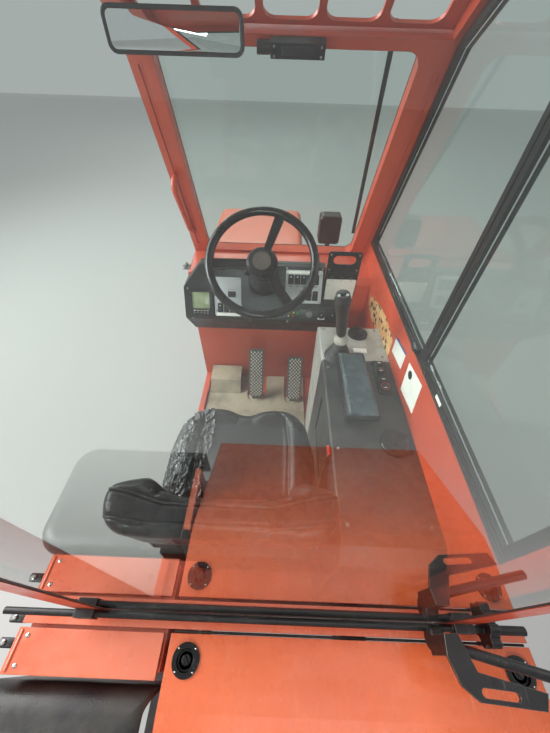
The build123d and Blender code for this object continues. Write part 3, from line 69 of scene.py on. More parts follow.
class Tree:
    """A shader tree with short ways to add nodes and join sockets."""

    def __init__(self, tree: bpy.types.NodeTree) -> None:
        """Keeps the node tree that is being filled."""
        self.tree = tree

    def join(self, node: bpy.types.Node, key: str | int, value: object) -> None:
        """Feeds one input of a node.

        Args:
            node: The node.
            key: Name or number of the input.
            value: The socket or the plain value that it gets.
        """
        if isinstance(value, Socket):
            self.tree.links.new(value, node.inputs[key])
        else:
            node.inputs[key].default_value = value

    def add(self, kind: str, inputs: dict | None = None, **settings: object) -> bpy.types.Node:
        """Adds a node.

        Args:
            kind: Blender's type name of the node.
            inputs: Values or sockets by input name or number.
            settings: Properties of the node itself.

        Returns:
            The new node.
        """
        node = self.tree.nodes.new(kind)
        for name, value in settings.items():
            setattr(node, name, value)
        for key, value in (inputs or {}).items():
            self.join(node, key, value)
        return node

    def maths(self, operation: str, a: object, b: object = 0.0, clamp: bool = False) -> Socket:
        """Works out one number from two."""
        return self.add("ShaderNodeMath", {0: a, 1: b}, operation=operation, use_clamp=clamp).outputs[0]

    def times(self, a: object, b: object) -> Socket:
        """Multiplies two numbers."""
        return self.maths("MULTIPLY", a, b)

    def off_middle(self, value: Socket) -> Socket:
        """Gives how far a value is from one half."""
        return self.maths("ABSOLUTE", self.maths("SUBTRACT", value, 0.5))

    def step(self, value: Socket, low: object, high: object, to_low: object = 0.0, to_high: object = 1.0) -> Socket:
        """Maps a value smoothly from one range to another."""
        ends = {"Value": value, "From Min": low, "From Max": high, "To Min": to_low, "To Max": to_high}
        return self.add("ShaderNodeMapRange", ends, interpolation_type="SMOOTHSTEP").outputs[0]

    def mix(self, mask: object, a: object, b: object) -> Socket:
        """Blends two colours: where the mask is 0 the first shows, where it is 1 the second."""
        factor, first, second, result = 0, 6, 7, 2
        return self.add("ShaderNodeMix", {factor: mask, first: a, second: b}, data_type="RGBA").outputs[result]

    def place(self, stretch: Point = (1, 1, 1)) -> Socket:
        """Gives the place on the object in metres, stretched along each axis."""
        coords = self.add("ShaderNodeTexCoord").outputs["Object"]
        return self.add("ShaderNodeMapping", {"Vector": coords, "Scale": stretch}).outputs[0]

    def noise(self, where: Socket, scale: object, detail: float = 3.0, rough: float = 0.5) -> Socket:
        """Gives soft noise from 0 to 1, with so many waves per metre and finer layers."""
        inputs = {"Vector": where, "Scale": scale, "Detail": detail, "Roughness": rough}
        return self.add("ShaderNodeTexNoise", inputs).outputs[0]

    def cells(self, where: Socket, scale: object, feature: str = "F1") -> Socket:
        """Gives the distance inside a cell pattern."""
        return self.add("ShaderNodeTexVoronoi", {"Vector": where, "Scale": scale}, feature=feature).outputs["Distance"]


class Effect(Enum):
    """The effects that more than one finish uses."""

    EDGE_WEAR = "edge_wear"
    DUST = "dust"
    GRAIN = "grain"
    LEATHER = "leather"
    SCRATCHES = "scratches"
    BLOTCHES = "blotches"


class Effects:
    """Shared node groups, each built once."""

    made: dict[Effect, bpy.types.NodeTree] = {}

    @classmethod
    def use(cls, tree: Tree, effect: Effect, **values: object) -> bpy.types.Node:
        """Places an effect in a material.

        Args:
            tree: The material's tree.
            effect: Which effect.
            values: Values or sockets for its inputs.

        Returns:
            The group node.
        """
        if effect not in cls.made:
            cls.made[effect] = getattr(cls, effect.value)()
        return tree.add("ShaderNodeGroup", values, node_tree=cls.made[effect])

    @classmethod
    def main(cls, tree: Tree, effect: Effect, **values: object) -> Socket:
        """Places an effect and gives its first output; see use."""
        return cls.use(tree, effect, **values).outputs[0]

    @staticmethod
    def group(name: str, inputs: dict[str, float],
              outputs: Iterable[str]) -> tuple[Tree, bpy.types.Node, bpy.types.Node]:
        """Starts a node group.

        Args:
            name: Name of the group.
            inputs: Names and default values of its inputs.
            outputs: Names of its outputs; one with the word Normal is a vector.

        Returns:
            The group's tree, its input node and its output node.
        """
        data = bpy.data.node_groups.new(name, "ShaderNodeTree")
        for label, value in inputs.items():
            data.interface.new_socket(label, in_out="INPUT", socket_type="NodeSocketFloat").default_value = value
        for label in outputs:
            kind = "NodeSocketVector" if "Normal" in label else "NodeSocketFloat"
            data.interface.new_socket(label, in_out="OUTPUT", socket_type=kind)
        tree = Tree(data)
        return tree, tree.add("NodeGroupInput"), tree.add("NodeGroupOutput")

    @classmethod
    def edge_wear(cls) -> bpy.types.NodeTree:
        """Builds the effect for rubbed edges: a mask, and a normal that rounds hard edges."""
        tree, given, out = cls.group(
            "edge_wear", {"Radius": 0.002, "Amount": 0.5, "Scale": 60.0}, ("Mask", "Soft Normal"))
        bevel = tree.add("ShaderNodeBevel", {"Radius": given.outputs["Radius"]}, samples=4)
        flat = tree.add("ShaderNodeNewGeometry").outputs["Normal"]
        match = tree.add("ShaderNodeVectorMath", {0: bevel.outputs[0], 1: flat}, operation="DOT_PRODUCT")
        turn = tree.maths("SUBTRACT", 1.0, match.outputs["Value"])
        reach = tree.times(tree.noise(tree.place(), given.outputs["Scale"], 4.0, 0.65), 0.32)
        rubbed = tree.step(tree.maths("SUBTRACT", turn, reach), -0.02, 0.08)
        tree.join(out, "Mask", tree.maths("MULTIPLY", rubbed, given.outputs["Amount"], clamp=True))
        tree.join(out, "Soft Normal", bevel.outputs[0])
        return tree.tree

    @classmethod
    def dust(cls) -> bpy.types.NodeTree:
        """Builds the effect for dust that settles on upward faces."""
        tree, given, out = cls.group("dust", {"Amount": 0.4, "Scale": 9.0}, ("Mask",))
        normal = tree.add("ShaderNodeNewGeometry").outputs["Normal"]
        up = tree.add("ShaderNodeSeparateXYZ", {0: normal}).outputs["Z"]
        clouds = tree.noise(tree.place(), given.outputs["Scale"], 6.0, 0.62)
        settled = tree.times(tree.step(up, 0.1, 0.95, 0.25), tree.step(clouds, 0.3, 0.72))
        tree.join(out, "Mask", tree.maths("MULTIPLY", settled, given.outputs["Amount"], clamp=True))
        return tree.tree

    @classmethod
    def grain(cls) -> bpy.types.NodeTree:
        """Builds the effect for moulded plastic grain."""
        tree, given, out = cls.group("grain", {"Scale": 900.0}, ("Height",))
        where = tree.place()
        cells = tree.times(tree.cells(where, given.outputs["Scale"]), 0.7)
        soft = tree.times(tree.noise(where, given.outputs["Scale"], 2.0), 0.5)
        tree.join(out, "Height", tree.maths("ADD", cells, soft))
        return tree.tree

    @classmethod
    def leather(cls) -> bpy.types.NodeTree:
        """Builds the effect for pebbled vinyl with soft creases."""
        tree, given, out = cls.group("leather", {"Scale": 420.0, "Creases": 26.0}, ("Height", "Crease"))
        where = tree.place()
        drift = tree.add("ShaderNodeTexNoise", {"Vector": where, "Scale": 18.0}).outputs["Color"]
        shift = tree.add("ShaderNodeVectorMath", {0: drift, "Scale": 0.03}, operation="SCALE").outputs[0]
        moved = tree.add("ShaderNodeVectorMath", {0: where, 1: shift}, operation="ADD").outputs[0]
        pebbles = tree.step(tree.cells(moved, given.outputs["Scale"], "DISTANCE_TO_EDGE"), 0.0, 0.28)
        crease = tree.step(tree.cells(moved, given.outputs["Creases"], "DISTANCE_TO_EDGE"), 0.0, 0.06)
        tree.join(out, "Height", tree.maths("ADD", tree.times(pebbles, 0.5), tree.times(crease, 0.5)))
        tree.join(out, "Crease", crease)
        return tree.tree

    @classmethod
    def scratches(cls) -> bpy.types.NodeTree:
        """Builds the effect for fine scratches in two directions."""
        tree, given, out = cls.group("scratches", {"Scale": 30.0, "Amount": 0.5}, ("Mask",))
        lines = []
        for stretch in ((1.0, 0.06, 9.0), (7.0, 0.9, 0.08)):
            wave = tree.noise(tree.place(stretch), given.outputs["Scale"], 4.0, 0.7)
            lines.append(tree.step(tree.off_middle(wave), 0.0, 0.006, 1.0, 0.0))
        patch = tree.step(tree.noise(tree.place(), 11.0, 3.0), 0.45, 0.65)
        both = tree.times(tree.maths("MAXIMUM", *lines), patch)
        tree.join(out, "Mask", tree.maths("MULTIPLY", both, given.outputs["Amount"], clamp=True))
        return tree.tree

    @classmethod
    def blotches(cls) -> bpy.types.NodeTree:
        """Builds the effect for slow changes of tone over a surface."""
        tree, given, out = cls.group("blotches", {"Scale": 3.0, "Contrast": 0.5}, ("Value",))
        soft = tree.noise(tree.place(), given.outputs["Scale"], 5.0, 0.55)
        swing = tree.times(tree.maths("SUBTRACT", soft, 0.5), given.outputs["Contrast"])
        tree.join(out, "Value", tree.maths("ADD", swing, 0.5))
        return tree.tree


@dataclass(frozen=True)
class Finish:
    """A finish that is one principled shader with its own nodes."""

    name: str
    colour: str

    def material(self) -> bpy.types.Material:
        """Makes the material once, or gives the one that was made before."""
        known = bpy.data.materials.get("finish_" + self.name)
        if known:
            return known
        made = bpy.data.materials.new("finish_" + self.name)
        made.use_nodes = True
        self.fill(Tree(made.node_tree), made.node_tree.nodes["Principled BSDF"])
        return made

    def fill(self, tree: Tree, shader: bpy.types.Node) -> None:
        """Adds this finish's nodes.

        Args:
            tree: The material's tree.
            shader: The principled shader that they feed.
        """
        tree.join(shader, "Base Color", srgb(self.colour))

    @staticmethod
    def feed(tree: Tree, shader: bpy.types.Node, **inputs: object) -> None:
        """Feeds the shader's inputs, with _ for a space."""
        for name, value in inputs.items():
            tree.join(shader, name.replace("_", " "), value)

    @staticmethod
    def bump(tree: Tree, height: Socket, depth: float, base: Socket | None = None) -> Socket:
        """Turns a height into a normal.

        Args:
            tree: The material's tree.
            height: The height over the surface.
            depth: Height of the relief in metres.
            base: Normal that the relief is added to.

        Returns:
            The normal.
        """
        inputs = {"Height": height, "Distance": depth, "Strength": 1.0}
        if base is not None:
            inputs["Normal"] = base
        return tree.add("ShaderNodeBump", inputs).outputs[0]

    @staticmethod
    def dulled(tree: Tree, rough: Socket, soil: Socket, share: float) -> Socket:
        """Makes a surface rougher where it is soiled."""
        return tree.maths("ADD", rough, tree.times(soil, share), clamp=True)


@dataclass(frozen=True)
class Paint(Finish):
    """Sprayed machine paint with worn edges, dust and a faded top."""

    under: str = "3a2a26"
    faded: str = "d98b72"
    rough: float = 0.38
    wear: float = 0.8
    edge: float = 0.0022
    dust: float = 0.35
    fade: float = 0.35
    coat: float = 0.25
    bare_metal: float = 0.0
    wave: float = 0.0

    def fill(self, tree: Tree, shader: bpy.types.Node) -> None:
        """Adds the paint's nodes; see Finish.fill."""
        tone = Effects.main(tree, Effect.BLOTCHES, Scale=4.0, Contrast=1.3)
        fine = Effects.main(tree, Effect.BLOTCHES, Scale=38.0, Contrast=0.8)
        colour = tree.mix(tree.step(tone, 0.1, 0.9), srgb(self.colour, 0.84), srgb(self.colour))
        top = Effects.main(tree, Effect.DUST, Amount=self.fade, Scale=2.4)
        grime = Effects.main(tree, Effect.DUST, Amount=self.dust, Scale=26.0)
        worn = Effects.use(tree, Effect.EDGE_WEAR, Radius=self.edge, Amount=self.wear, Scale=95.0)
        scuffs = Effects.main(tree, Effect.SCRATCHES, Scale=16.0, Amount=0.35)
        layers = ((top, self.faded), (grime, "8d8176"), (scuffs, self.faded), (worn.outputs["Mask"], self.under))
        for mask, over in layers:
            colour = tree.mix(mask, colour, srgb(over))
        rough = self.dulled(tree, tree.step(fine, 0.25, 0.75, self.rough - 0.1, self.rough + 0.14), grime, 0.35)
        peel = tree.noise(tree.place(), 240.0, 1.0)
        normal = self.bump(tree, peel, 0.00004, worn.outputs["Soft Normal"])
        if self.wave:
            normal = self.bump(tree, tree.noise(tree.place((1.0, 2.2, 1.0)), 7.0, 2.0), self.wave, normal)
        self.feed(tree, shader, Base_Color=colour, Roughness=rough, Normal=normal,
                  Coat_Weight=self.coat, Coat_Roughness=0.12)
        if self.bare_metal:
            self.feed(tree, shader, Metallic=tree.times(worn.outputs["Mask"], self.bare_metal))


@dataclass(frozen=True)
class Moulded(Finish):
    """Moulded plastic or rubber with a grain, rubbed edges and dust."""

    pale: str = "6b6a68"
    rough: float = 0.55
    grain: float = 900.0
    depth: float = 0.00006
    dust: float = 0.35
    wear: float = 0.35
    edge: float = 0.0016
    scratch: float = 0.3

    def tint(self, tree: Tree) -> Socket:
        """Gives the plastic's colour, a little deeper in places."""
        tone = Effects.main(tree, Effect.BLOTCHES, Scale=7.0, Contrast=1.2)
        return tree.mix(tone, srgb(self.colour, 0.7), srgb(self.colour))

    def fill(self, tree: Tree, shader: bpy.types.Node) -> None:
        """Adds the plastic's nodes; see Finish.fill."""
        tone = Effects.main(tree, Effect.BLOTCHES, Scale=7.0, Contrast=1.2)
        worn = Effects.use(tree, Effect.EDGE_WEAR, Radius=self.edge, Amount=self.wear, Scale=140.0)
        lines = Effects.main(tree, Effect.SCRATCHES, Scale=24.0, Amount=self.scratch)
        dust = Effects.main(tree, Effect.DUST, Amount=self.dust, Scale=15.0)
        rubbed = tree.maths("MAXIMUM", worn.outputs["Mask"], lines)
        colour = tree.mix(dust, tree.mix(rubbed, self.tint(tree), srgb(self.pale)), srgb("9a9184"))
        rough = self.dulled(tree, tree.step(tone, 0.2, 0.8, self.rough - 0.1, self.rough + 0.1), dust, 0.3)
        height = Effects.main(tree, Effect.GRAIN, Scale=self.grain)
        normal = self.bump(tree, height, self.depth, worn.outputs["Soft Normal"])
        self.feed(tree, shader, Base_Color=colour, Roughness=rough, Normal=normal)


@dataclass(frozen=True)
class TwoTone(Moulded):
    """Moulded console plastic whose front tray is pale and soiled."""

    tray: str = "a8a6a0"
    soiled: str = "837d74"
    tray_y: float = 0.300
    border: float = 0.006

    def tint(self, tree: Tree) -> Socket:
        """Gives the plastic's colour, pale ahead of the tray's edge; see Moulded.tint."""
        spot = tree.add("ShaderNodeSeparateXYZ", {0: tree.place()}).outputs["Y"]
        wave = tree.times(tree.noise(tree.place(), 60.0, 4.0), 0.012)
        ahead = tree.step(tree.maths("ADD", spot, wave), self.tray_y, self.tray_y + self.border)
        cloud = tree.step(tree.noise(tree.place(), 14.0, 7.0, 0.6), 0.4, 0.75)
        return tree.mix(ahead, super().tint(tree), tree.mix(cloud, srgb(self.tray), srgb(self.soiled)))


@dataclass(frozen=True)
class Vinyl(Finish):
    """Coated seat cloth with pebbles, creases and polished high spots; painted sheen makes the polished spots lighter
    and painted shade makes the creases darker.
    """

    painted_sheen: str = "55585c"
    rough: float = 0.42
    pebble: float = 520.0
    depth: float = 0.00022
    creases: float = 15.0
    dust: float = 0.2

    def fill(self, tree: Tree, shader: bpy.types.Node) -> None:
        """Adds the vinyl's nodes; see Finish.fill."""
        skin = Effects.use(tree, Effect.LEATHER, Scale=self.pebble, Creases=self.creases)
        tone = Effects.main(tree, Effect.BLOTCHES, Scale=10.0, Contrast=1.2)
        dust = Effects.main(tree, Effect.DUST, Amount=self.dust, Scale=20.0)
        # Painted shade: the creases are mixed towards near-black.
        crease = tree.step(skin.outputs["Crease"], 0.0, 1.0, 0.35, 0.0)
        # Painted sheen: the polished, smoother spots are mixed towards the lighter painted_sheen colour.
        colour = tree.mix(tree.step(tone, 0.55, 0.95, 0.0, 0.55), srgb(self.colour), srgb(self.painted_sheen))
        colour = tree.mix(dust, tree.mix(crease, colour, srgb("0b0b0c")), srgb("8b857b"))
        rough = self.dulled(tree, tree.step(tone, 0.2, 0.9, self.rough + 0.1, self.rough - 0.12), dust, 0.3)
        normal = self.bump(tree, skin.outputs["Height"], self.depth)
        self.feed(tree, shader, Base_Color=colour, Roughness=rough, Normal=normal, Sheen_Weight=0.03)


@dataclass(frozen=True)
class Film(Finish):
    """Glossy wrapping film, crinkled over the padding below, with painted glints: a pale colour along its fold ridges.
    """

    def fill(self, tree: Tree, shader: bpy.types.Node) -> None:
        """Adds the film's nodes; see Finish.fill."""
        where = tree.place((1.0, 0.55, 1.0))
        folds = tree.noise(where, 60.0, 5.0, 0.6)
        ridges = tree.off_middle(folds)
        crumple = tree.cells(where, 95.0, "DISTANCE_TO_EDGE")
        height = tree.maths("ADD", tree.times(ridges, 2.2), tree.times(crumple, 0.5))
        # Painted glints: the fold ridges are mixed towards a pale grey.
        colour = tree.mix(tree.step(ridges, 0.0, 0.02, 0.16, 0.0), srgb(self.colour), srgb("7f8c8c"))
        self.feed(tree, shader, Base_Color=colour, Roughness=tree.step(folds, 0.3, 0.7, 0.1, 0.28),
                  Normal=self.bump(tree, height, 0.004), Coat_Weight=0.8, Coat_Roughness=0.06)


@dataclass(frozen=True)
class Metal(Finish):
    """Bare or plated metal with brushing and grime."""

    rough: float = 0.35
    grime: str = "3c352c"
    dirt: float = 0.4

    def fill(self, tree: Tree, shader: bpy.types.Node) -> None:
        """Adds the metal's nodes; see Finish.fill."""
        worn = Effects.use(tree, Effect.EDGE_WEAR, Radius=0.001, Amount=1.0, Scale=120.0)
        dirty = tree.times(tree.step(tree.noise(tree.place(), 34.0, 5.0, 0.6), 0.42, 0.62), self.dirt)
        brushed = tree.noise(tree.place((1.0, 14.0, 14.0)), 130.0, 3.0)
        rough = self.dulled(tree, tree.step(brushed, 0.3, 0.7, self.rough - 0.08, self.rough + 0.12), dirty, 0.4)
        self.feed(tree, shader, Base_Color=tree.mix(dirty, srgb(self.colour), srgb(self.grime)), Roughness=rough,
                  Metallic=tree.step(dirty, 0.0, 0.5, 1.0, 0.35),
                  Normal=self.bump(tree, brushed, 0.00003, worn.outputs["Soft Normal"]))


@dataclass(frozen=True)
class WornMat(Finish):
    """Beige rubber floor mat, trodden dark and stained."""

    def fill(self, tree: Tree, shader: bpy.types.Node) -> None:
        """Adds the mat's nodes; see Finish.fill."""
        stain = tree.noise(tree.place(), 6.5, 8.0, 0.62)
        specks = tree.noise(tree.place(), 140.0, 4.0, 0.7)
        tracks = tree.noise(tree.place((1.0, 0.3, 1.0)), 20.0, 4.0)
        colour = tree.mix(tree.step(stain, 0.25, 0.6), srgb("80705a"), srgb(self.colour))
        colour = tree.mix(tree.step(specks, 0.55, 0.75, 0.0, 0.4), colour, srgb("5c5145"))
        colour = tree.mix(tree.step(tracks, 0.52, 0.68, 0.0, 0.45), colour, srgb("8f8a80"))
        height = tree.maths("ADD", Effects.main(tree, Effect.GRAIN, Scale=260.0), tree.times(stain, 0.8))
        self.feed(tree, shader, Base_Color=colour, Roughness=tree.step(stain, 0.3, 0.7, 0.62, 0.85),
                  Normal=self.bump(tree, height, 0.0006))


@dataclass(frozen=True)
class ClearGlass(Finish):
    """Safety glass that lets lamps through, with smears on it."""

    smear: float = 0.01
    bend: float = 1.33

    def fill(self, tree: Tree, shader: bpy.types.Node) -> None:
        """Adds the glass's nodes; see Finish.fill."""
        wiped = tree.noise(tree.place((1.0, 1.0, 0.35)), 9.0, 5.0, 0.6)
        self.feed(tree, shader, Base_Color=srgb(self.colour), Transmission_Weight=1.0, IOR=self.bend,
                  Roughness=tree.step(wiped, 0.55, 0.8, 0.0, self.smear))
        shadow = tree.add("ShaderNodeLightPath").outputs["Is Shadow Ray"]
        clear = tree.add("ShaderNodeBsdfTransparent", {"Color": (0.86, 0.9, 0.88, 1.0)})
        both = tree.add("ShaderNodeMixShader", {0: shadow, 1: shader.outputs[0], 2: clear.outputs[0]})
        tree.join(tree.tree.nodes["Material Output"], "Surface", both.outputs[0])


@dataclass(frozen=True)
class Speckled(Finish):
    """Old felt lining with scattered dark dots."""

    dots: str = "2a1c14"

    def fill(self, tree: Tree, shader: bpy.types.Node) -> None:
        """Adds the lining's nodes; see Finish.fill."""
        where = tree.place()
        size = tree.step(tree.noise(where, 40.0), 0.3, 0.7, 0.2, 0.48)
        dot = tree.step(tree.maths("SUBTRACT", tree.cells(where, 48.0), size), -0.06, 0.06, 1.0, 0.0)
        stain = tree.noise(where, 16.0, 6.0, 0.62)
        colour = tree.mix(tree.step(stain, 0.35, 0.7), srgb("b8804c"), srgb(self.colour))
        fluff = tree.noise(where, 900.0, 3.0, 0.6)
        height = tree.maths("SUBTRACT", fluff, tree.times(dot, 1.5))
        self.feed(tree, shader, Base_Color=tree.mix(dot, colour, srgb(self.dots)),
                  Roughness=tree.step(stain, 0.3, 0.7, 0.75, 0.95), Normal=self.bump(tree, height, 0.0005))


@dataclass(frozen=True)
class Gloss(Finish):
    """Small smooth plastic, paper or lacquered piece with slight soiling."""

    rough: float = 0.3
    soil: float = 0.3
    metal: float = 0.0

    def fill(self, tree: Tree, shader: bpy.types.Node) -> None:
        """Adds the nodes; see Finish.fill."""
        cloud = tree.noise(tree.place(), 55.0, 5.0, 0.6)
        colour = tree.mix(tree.step(cloud, 0.45, 0.75, 0.0, self.soil), srgb(self.colour), srgb(self.colour, 0.55))
        self.feed(tree, shader, Base_Color=colour, Metallic=self.metal,
                  Roughness=tree.step(cloud, 0.3, 0.7, self.rough * 0.8, self.rough * 1.3))


ORANGE = Paint("cab_orange", "cb4a2b", faded="dd7e60", fade=0.15, dust=0.1, coat=0.3)
ORANGE_TOP = Paint("deck_orange", "df6540", faded="eaa48c", rough=0.3, fade=0.3, dust=0.06, coat=0.4, wave=0.002)
HOOD_PAINT = Paint("hood_paint", "e46433", faded="eb9a78", rough=0.26, fade=0.16, dust=0.04, coat=0.6, wave=0.004)
COVER_PAINT = Paint("cover_paint", "e8653c", faded="eaa68f", rough=0.36, fade=0.12, dust=0.06, coat=0.2)
CHASSIS = Paint("chassis_black", "18191b", under="4b4038", faded="303030", rough=0.45, fade=0.15, coat=0.0, dust=0.08)
TRIM = Paint("trim_black", "101012", under="4a4845", faded="222224", fade=0.2, coat=0.15, dust=0.08, wear=0.5)
SCUFFED = Paint("scuffed_black", "0b080b", under="a29e98", faded="7d7775", rough=0.4, wear=0.75, edge=0.0018,
                fade=0.02, dust=0.02, coat=0.12, bare_metal=0.5)
RUBBER = Moulded("seal_rubber", "141416", pale="2c2c2e", rough=0.7, grain=1400.0, dust=0.2, scratch=0.0)
DASH = Moulded("dash_plastic", "121315", pale="55555a", rough=0.42, grain=1300.0, depth=0.00002, dust=0.1, wear=0.25)
PANEL = Moulded("panel_grey", "bcc0c2", pale="dadcda", rough=0.4, grain=1500.0, depth=0.00002, dust=0.1)
RIM = Moulded("wheel_black", "0f0f11", pale="2a2a2e", rough=0.28, grain=1600.0, depth=0.00002, dust=0.04)
BOOT = Moulded("boot_rubber", "2b2a29", pale="5f5d59", rough=0.6, grain=1300.0, depth=0.00003, dust=0.12)
LATCH = Moulded("latch_black", "0b0b0c", pale="303033", rough=0.26, grain=1800.0, depth=0.00001, dust=0.0, wear=0.2,
                scratch=0.1)
FENDER = Moulded("fender_black", "15171a", pale="4c5054", rough=0.42, grain=420.0, depth=0.00035, dust=0.12)
TREAD = Moulded("tread_steel", "5d5a52", pale="a8a498", rough=0.5, grain=700.0, dust=0.3)
DISPLAY = Moulded("display_black", "161719", pale="4c4c4e", rough=0.35, grain=1600.0, depth=0.00003, dust=0.12)
COLLAR = Moulded("stick_collar", "a39c92", pale="c8c2b8", rough=0.6, grain=1200.0, dust=0.2)
STICK = Moulded("stick_brown", "241b17", pale="6a5347", rough=0.42, grain=1300.0, depth=0.00004, dust=0.1)
HUB = Moulded("hub_grey", "4a423d", pale="6c635c", rough=0.5, grain=900.0, depth=0.00002, dust=0.15)
PIPING = Moulded("seat_piping", "101012", pale="3a3a3c", rough=0.38, grain=1400.0, depth=0.00003, dust=0.1, scratch=0.0)
CONSOLE = TwoTone("console_grey", "27282a", pale="6c6c70", rough=0.5, depth=0.00005, dust=0.12)
GREY_VINYL = Vinyl("armrest_vinyl", "414c50", painted_sheen="6b7a7c", rough=0.25, pebble=800.0, depth=0.00004, dust=0.02)
BLACK_VINYL = Vinyl("seat_vinyl", "08090a", painted_sheen="191b1d", rough=0.29, dust=0.03)
INSERT = Vinyl("seat_insert", "131416", painted_sheen="202225", pebble=900.0, depth=0.0001, creases=9.0, dust=0.03)
WRAP = Film("wrap_film", "0c0e10")
STEEL = Metal("bare_steel", "9a9896", dirt=0.35)
MAT = WornMat("floor_mat", "b7ab92")
LINING = Speckled("dotted_lining", "e0b47c")
GLASS = ClearGlass("clear_glass", "e6efec")
REAR_GLASS = ClearGlass("rear_glass", "e2ebe8", bend=1.6)
LUGS = Gloss("tread_lugs", "d3cfc2", rough=0.42)
RED = Gloss("release_red", "c8281e", rough=0.28)
WHITE = Gloss("card_white", "eceae2", rough=0.5, soil=0.18)
LCD = Gloss("lcd_green", "8f9a78", rough=0.18, soil=0.2)
AMBER = Gloss("lamp_amber", "d8c23a", rough=0.2)
GREEN = Gloss("lamp_green", "2f7a3c", rough=0.2)
BLUE = Gloss("label_blue", "2d4f94", rough=0.4)
RING_RED = Gloss("ring_red", "a03a34", rough=0.35)
BRIGHT = Gloss("screw_bright", "c9c8c2", rough=0.25, soil=0.4, metal=1.0)
LENS = Gloss("lamp_lens", "cfd4d6", rough=0.08, soil=0.2)
SILVER = Gloss("mirror_silver", "e9ecec", rough=0.03, soil=0.08, metal=1.0)


def dress(finish: Finish, *nodes: str) -> None:
    """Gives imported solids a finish.

    Args:
        finish: The finish that they get.
        nodes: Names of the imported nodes.
    """
    for name in nodes:
        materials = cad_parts[name].data.materials
        materials.clear()
        materials.append(finish.material())


def cornered(corners: Outline, radius: float, steps: int = 4) -> Outline:
    """Rounds the corners of any outline.

    Args:
        corners: The sharp corners in order.
        radius: How far from a corner the rounding starts.
        steps: Points along each rounding, less one.

    Returns:
        The rounded outline.
    """
    line = []
    for before, corner, after in zip(corners[-1:] + corners[:-1], corners, corners[1:] + corners[:1]):
        a, b, c = (Vector(p) for p in (before, corner, after))
        start, end = b + (a - b).normalized() * radius, b + (c - b).normalized() * radius
        for i in range(steps + 1):
            t = i / steps
            line.append(tuple(start * (1 - t) ** 2 + b * 2 * t * (1 - t) + end * t * t))
    return line


def rounded(width: float, height: float, corner: float, centre: Point = (0.0, 0.0), steps: int = 4) -> Outline:
    """Gives the outline of a rectangle with round corners.

    Args:
        width: Its width.
        height: Its height.
        corner: Radius of the corners.
        centre: Its middle.
        steps: Edges on each corner.

    Returns:
        Its points, anticlockwise.
    """
    outline = []
    for quarter, (sx, sy) in enumerate(((1, 1), (-1, 1), (-1, -1), (1, -1))):
        for i in range(steps + 1):
            turn = math.radians(90 * quarter + 90 * i / steps)
            x = sx * (width / 2 - corner) + corner * math.cos(turn)
            y = sy * (height / 2 - corner) + corner * math.sin(turn)
            outline.append((centre[0] + x, centre[1] + y))
    return outline


def softened(outline: Outline, times: int = 2) -> Outline:
    """Cuts the corners of a closed outline several times.

    Args:
        outline: The outline.
        times: How many times its corners are cut.

    Returns:
        The softer outline.
    """
    for _ in range(times):
        pairs = zip(outline, outline[1:] + outline[:1])
        outline = [(ax * (1 - t) + bx * t, ay * (1 - t) + by * t) for (ax, ay), (bx, by) in pairs for t in (0.25, 0.75)]
    return outline


def drawn_in(outline: Outline, distance: float) -> Outline:
    """Moves a closed outline inwards.

    Args:
        outline: The outline, anticlockwise.
        distance: How far each point moves.

    Returns:
        The smaller outline.
    """
    moved = []
    for (ax, ay), (x, y), (bx, by) in zip(outline[-1:] + outline[:-1], outline, outline[1:] + outline[:1]):
        length = math.hypot(bx - ax, by - ay) or 1.0
        moved.append((x - (by - ay) / length * distance, y + (bx - ax) / length * distance))
    return moved


def facing(origin: Point, right: Point, up: Point) -> Matrix:
    """Gives the frame of a flat face.

    Args:
        origin: A point on it.
        right: Its direction to the right.
        up: Its direction upwards.

    Returns:
        The matrix from the face's own right, up and outward directions to the cab's frame.
    """
    x = Vector(right).normalized()
    y = Vector(up)
    y = (y - x * y.dot(x)).normalized()
    return framed(x, y, x.cross(y), origin)


def framed(x: Vector, y: Vector, z: Vector, origin: Point) -> Matrix:
    """Gives the frame with these three directions and this origin."""
    return Matrix([(x[i], y[i], z[i], origin[i]) for i in range(3)] + [(0, 0, 0, 1)])


def at(x: float, y: float, z: float = 0.0) -> Matrix:
    """Gives the frame at a place."""
    return Matrix.Translation((x, y, z))


def spun(degrees: float, axis: str = "Z") -> Matrix:
    """Gives a turn about one axis."""
    return Matrix.Rotation(math.radians(degrees), 4, axis)


def oval(place: Matrix, width: float, depth: float, height: float, count: int) -> list[Vector]:
    """Gives points round an oval on a face.

    Args:
        place: Frame of the face.
        width: Half its width.
        depth: Half its depth.
        height: Its height over the face.
        count: Number of points.

    Returns:
        The points in the cab's frame.
    """
    turns = (math.tau * i / count for i in range(count))
    return [place @ Vector((width * math.cos(a), depth * math.sin(a), height)) for a in turns]


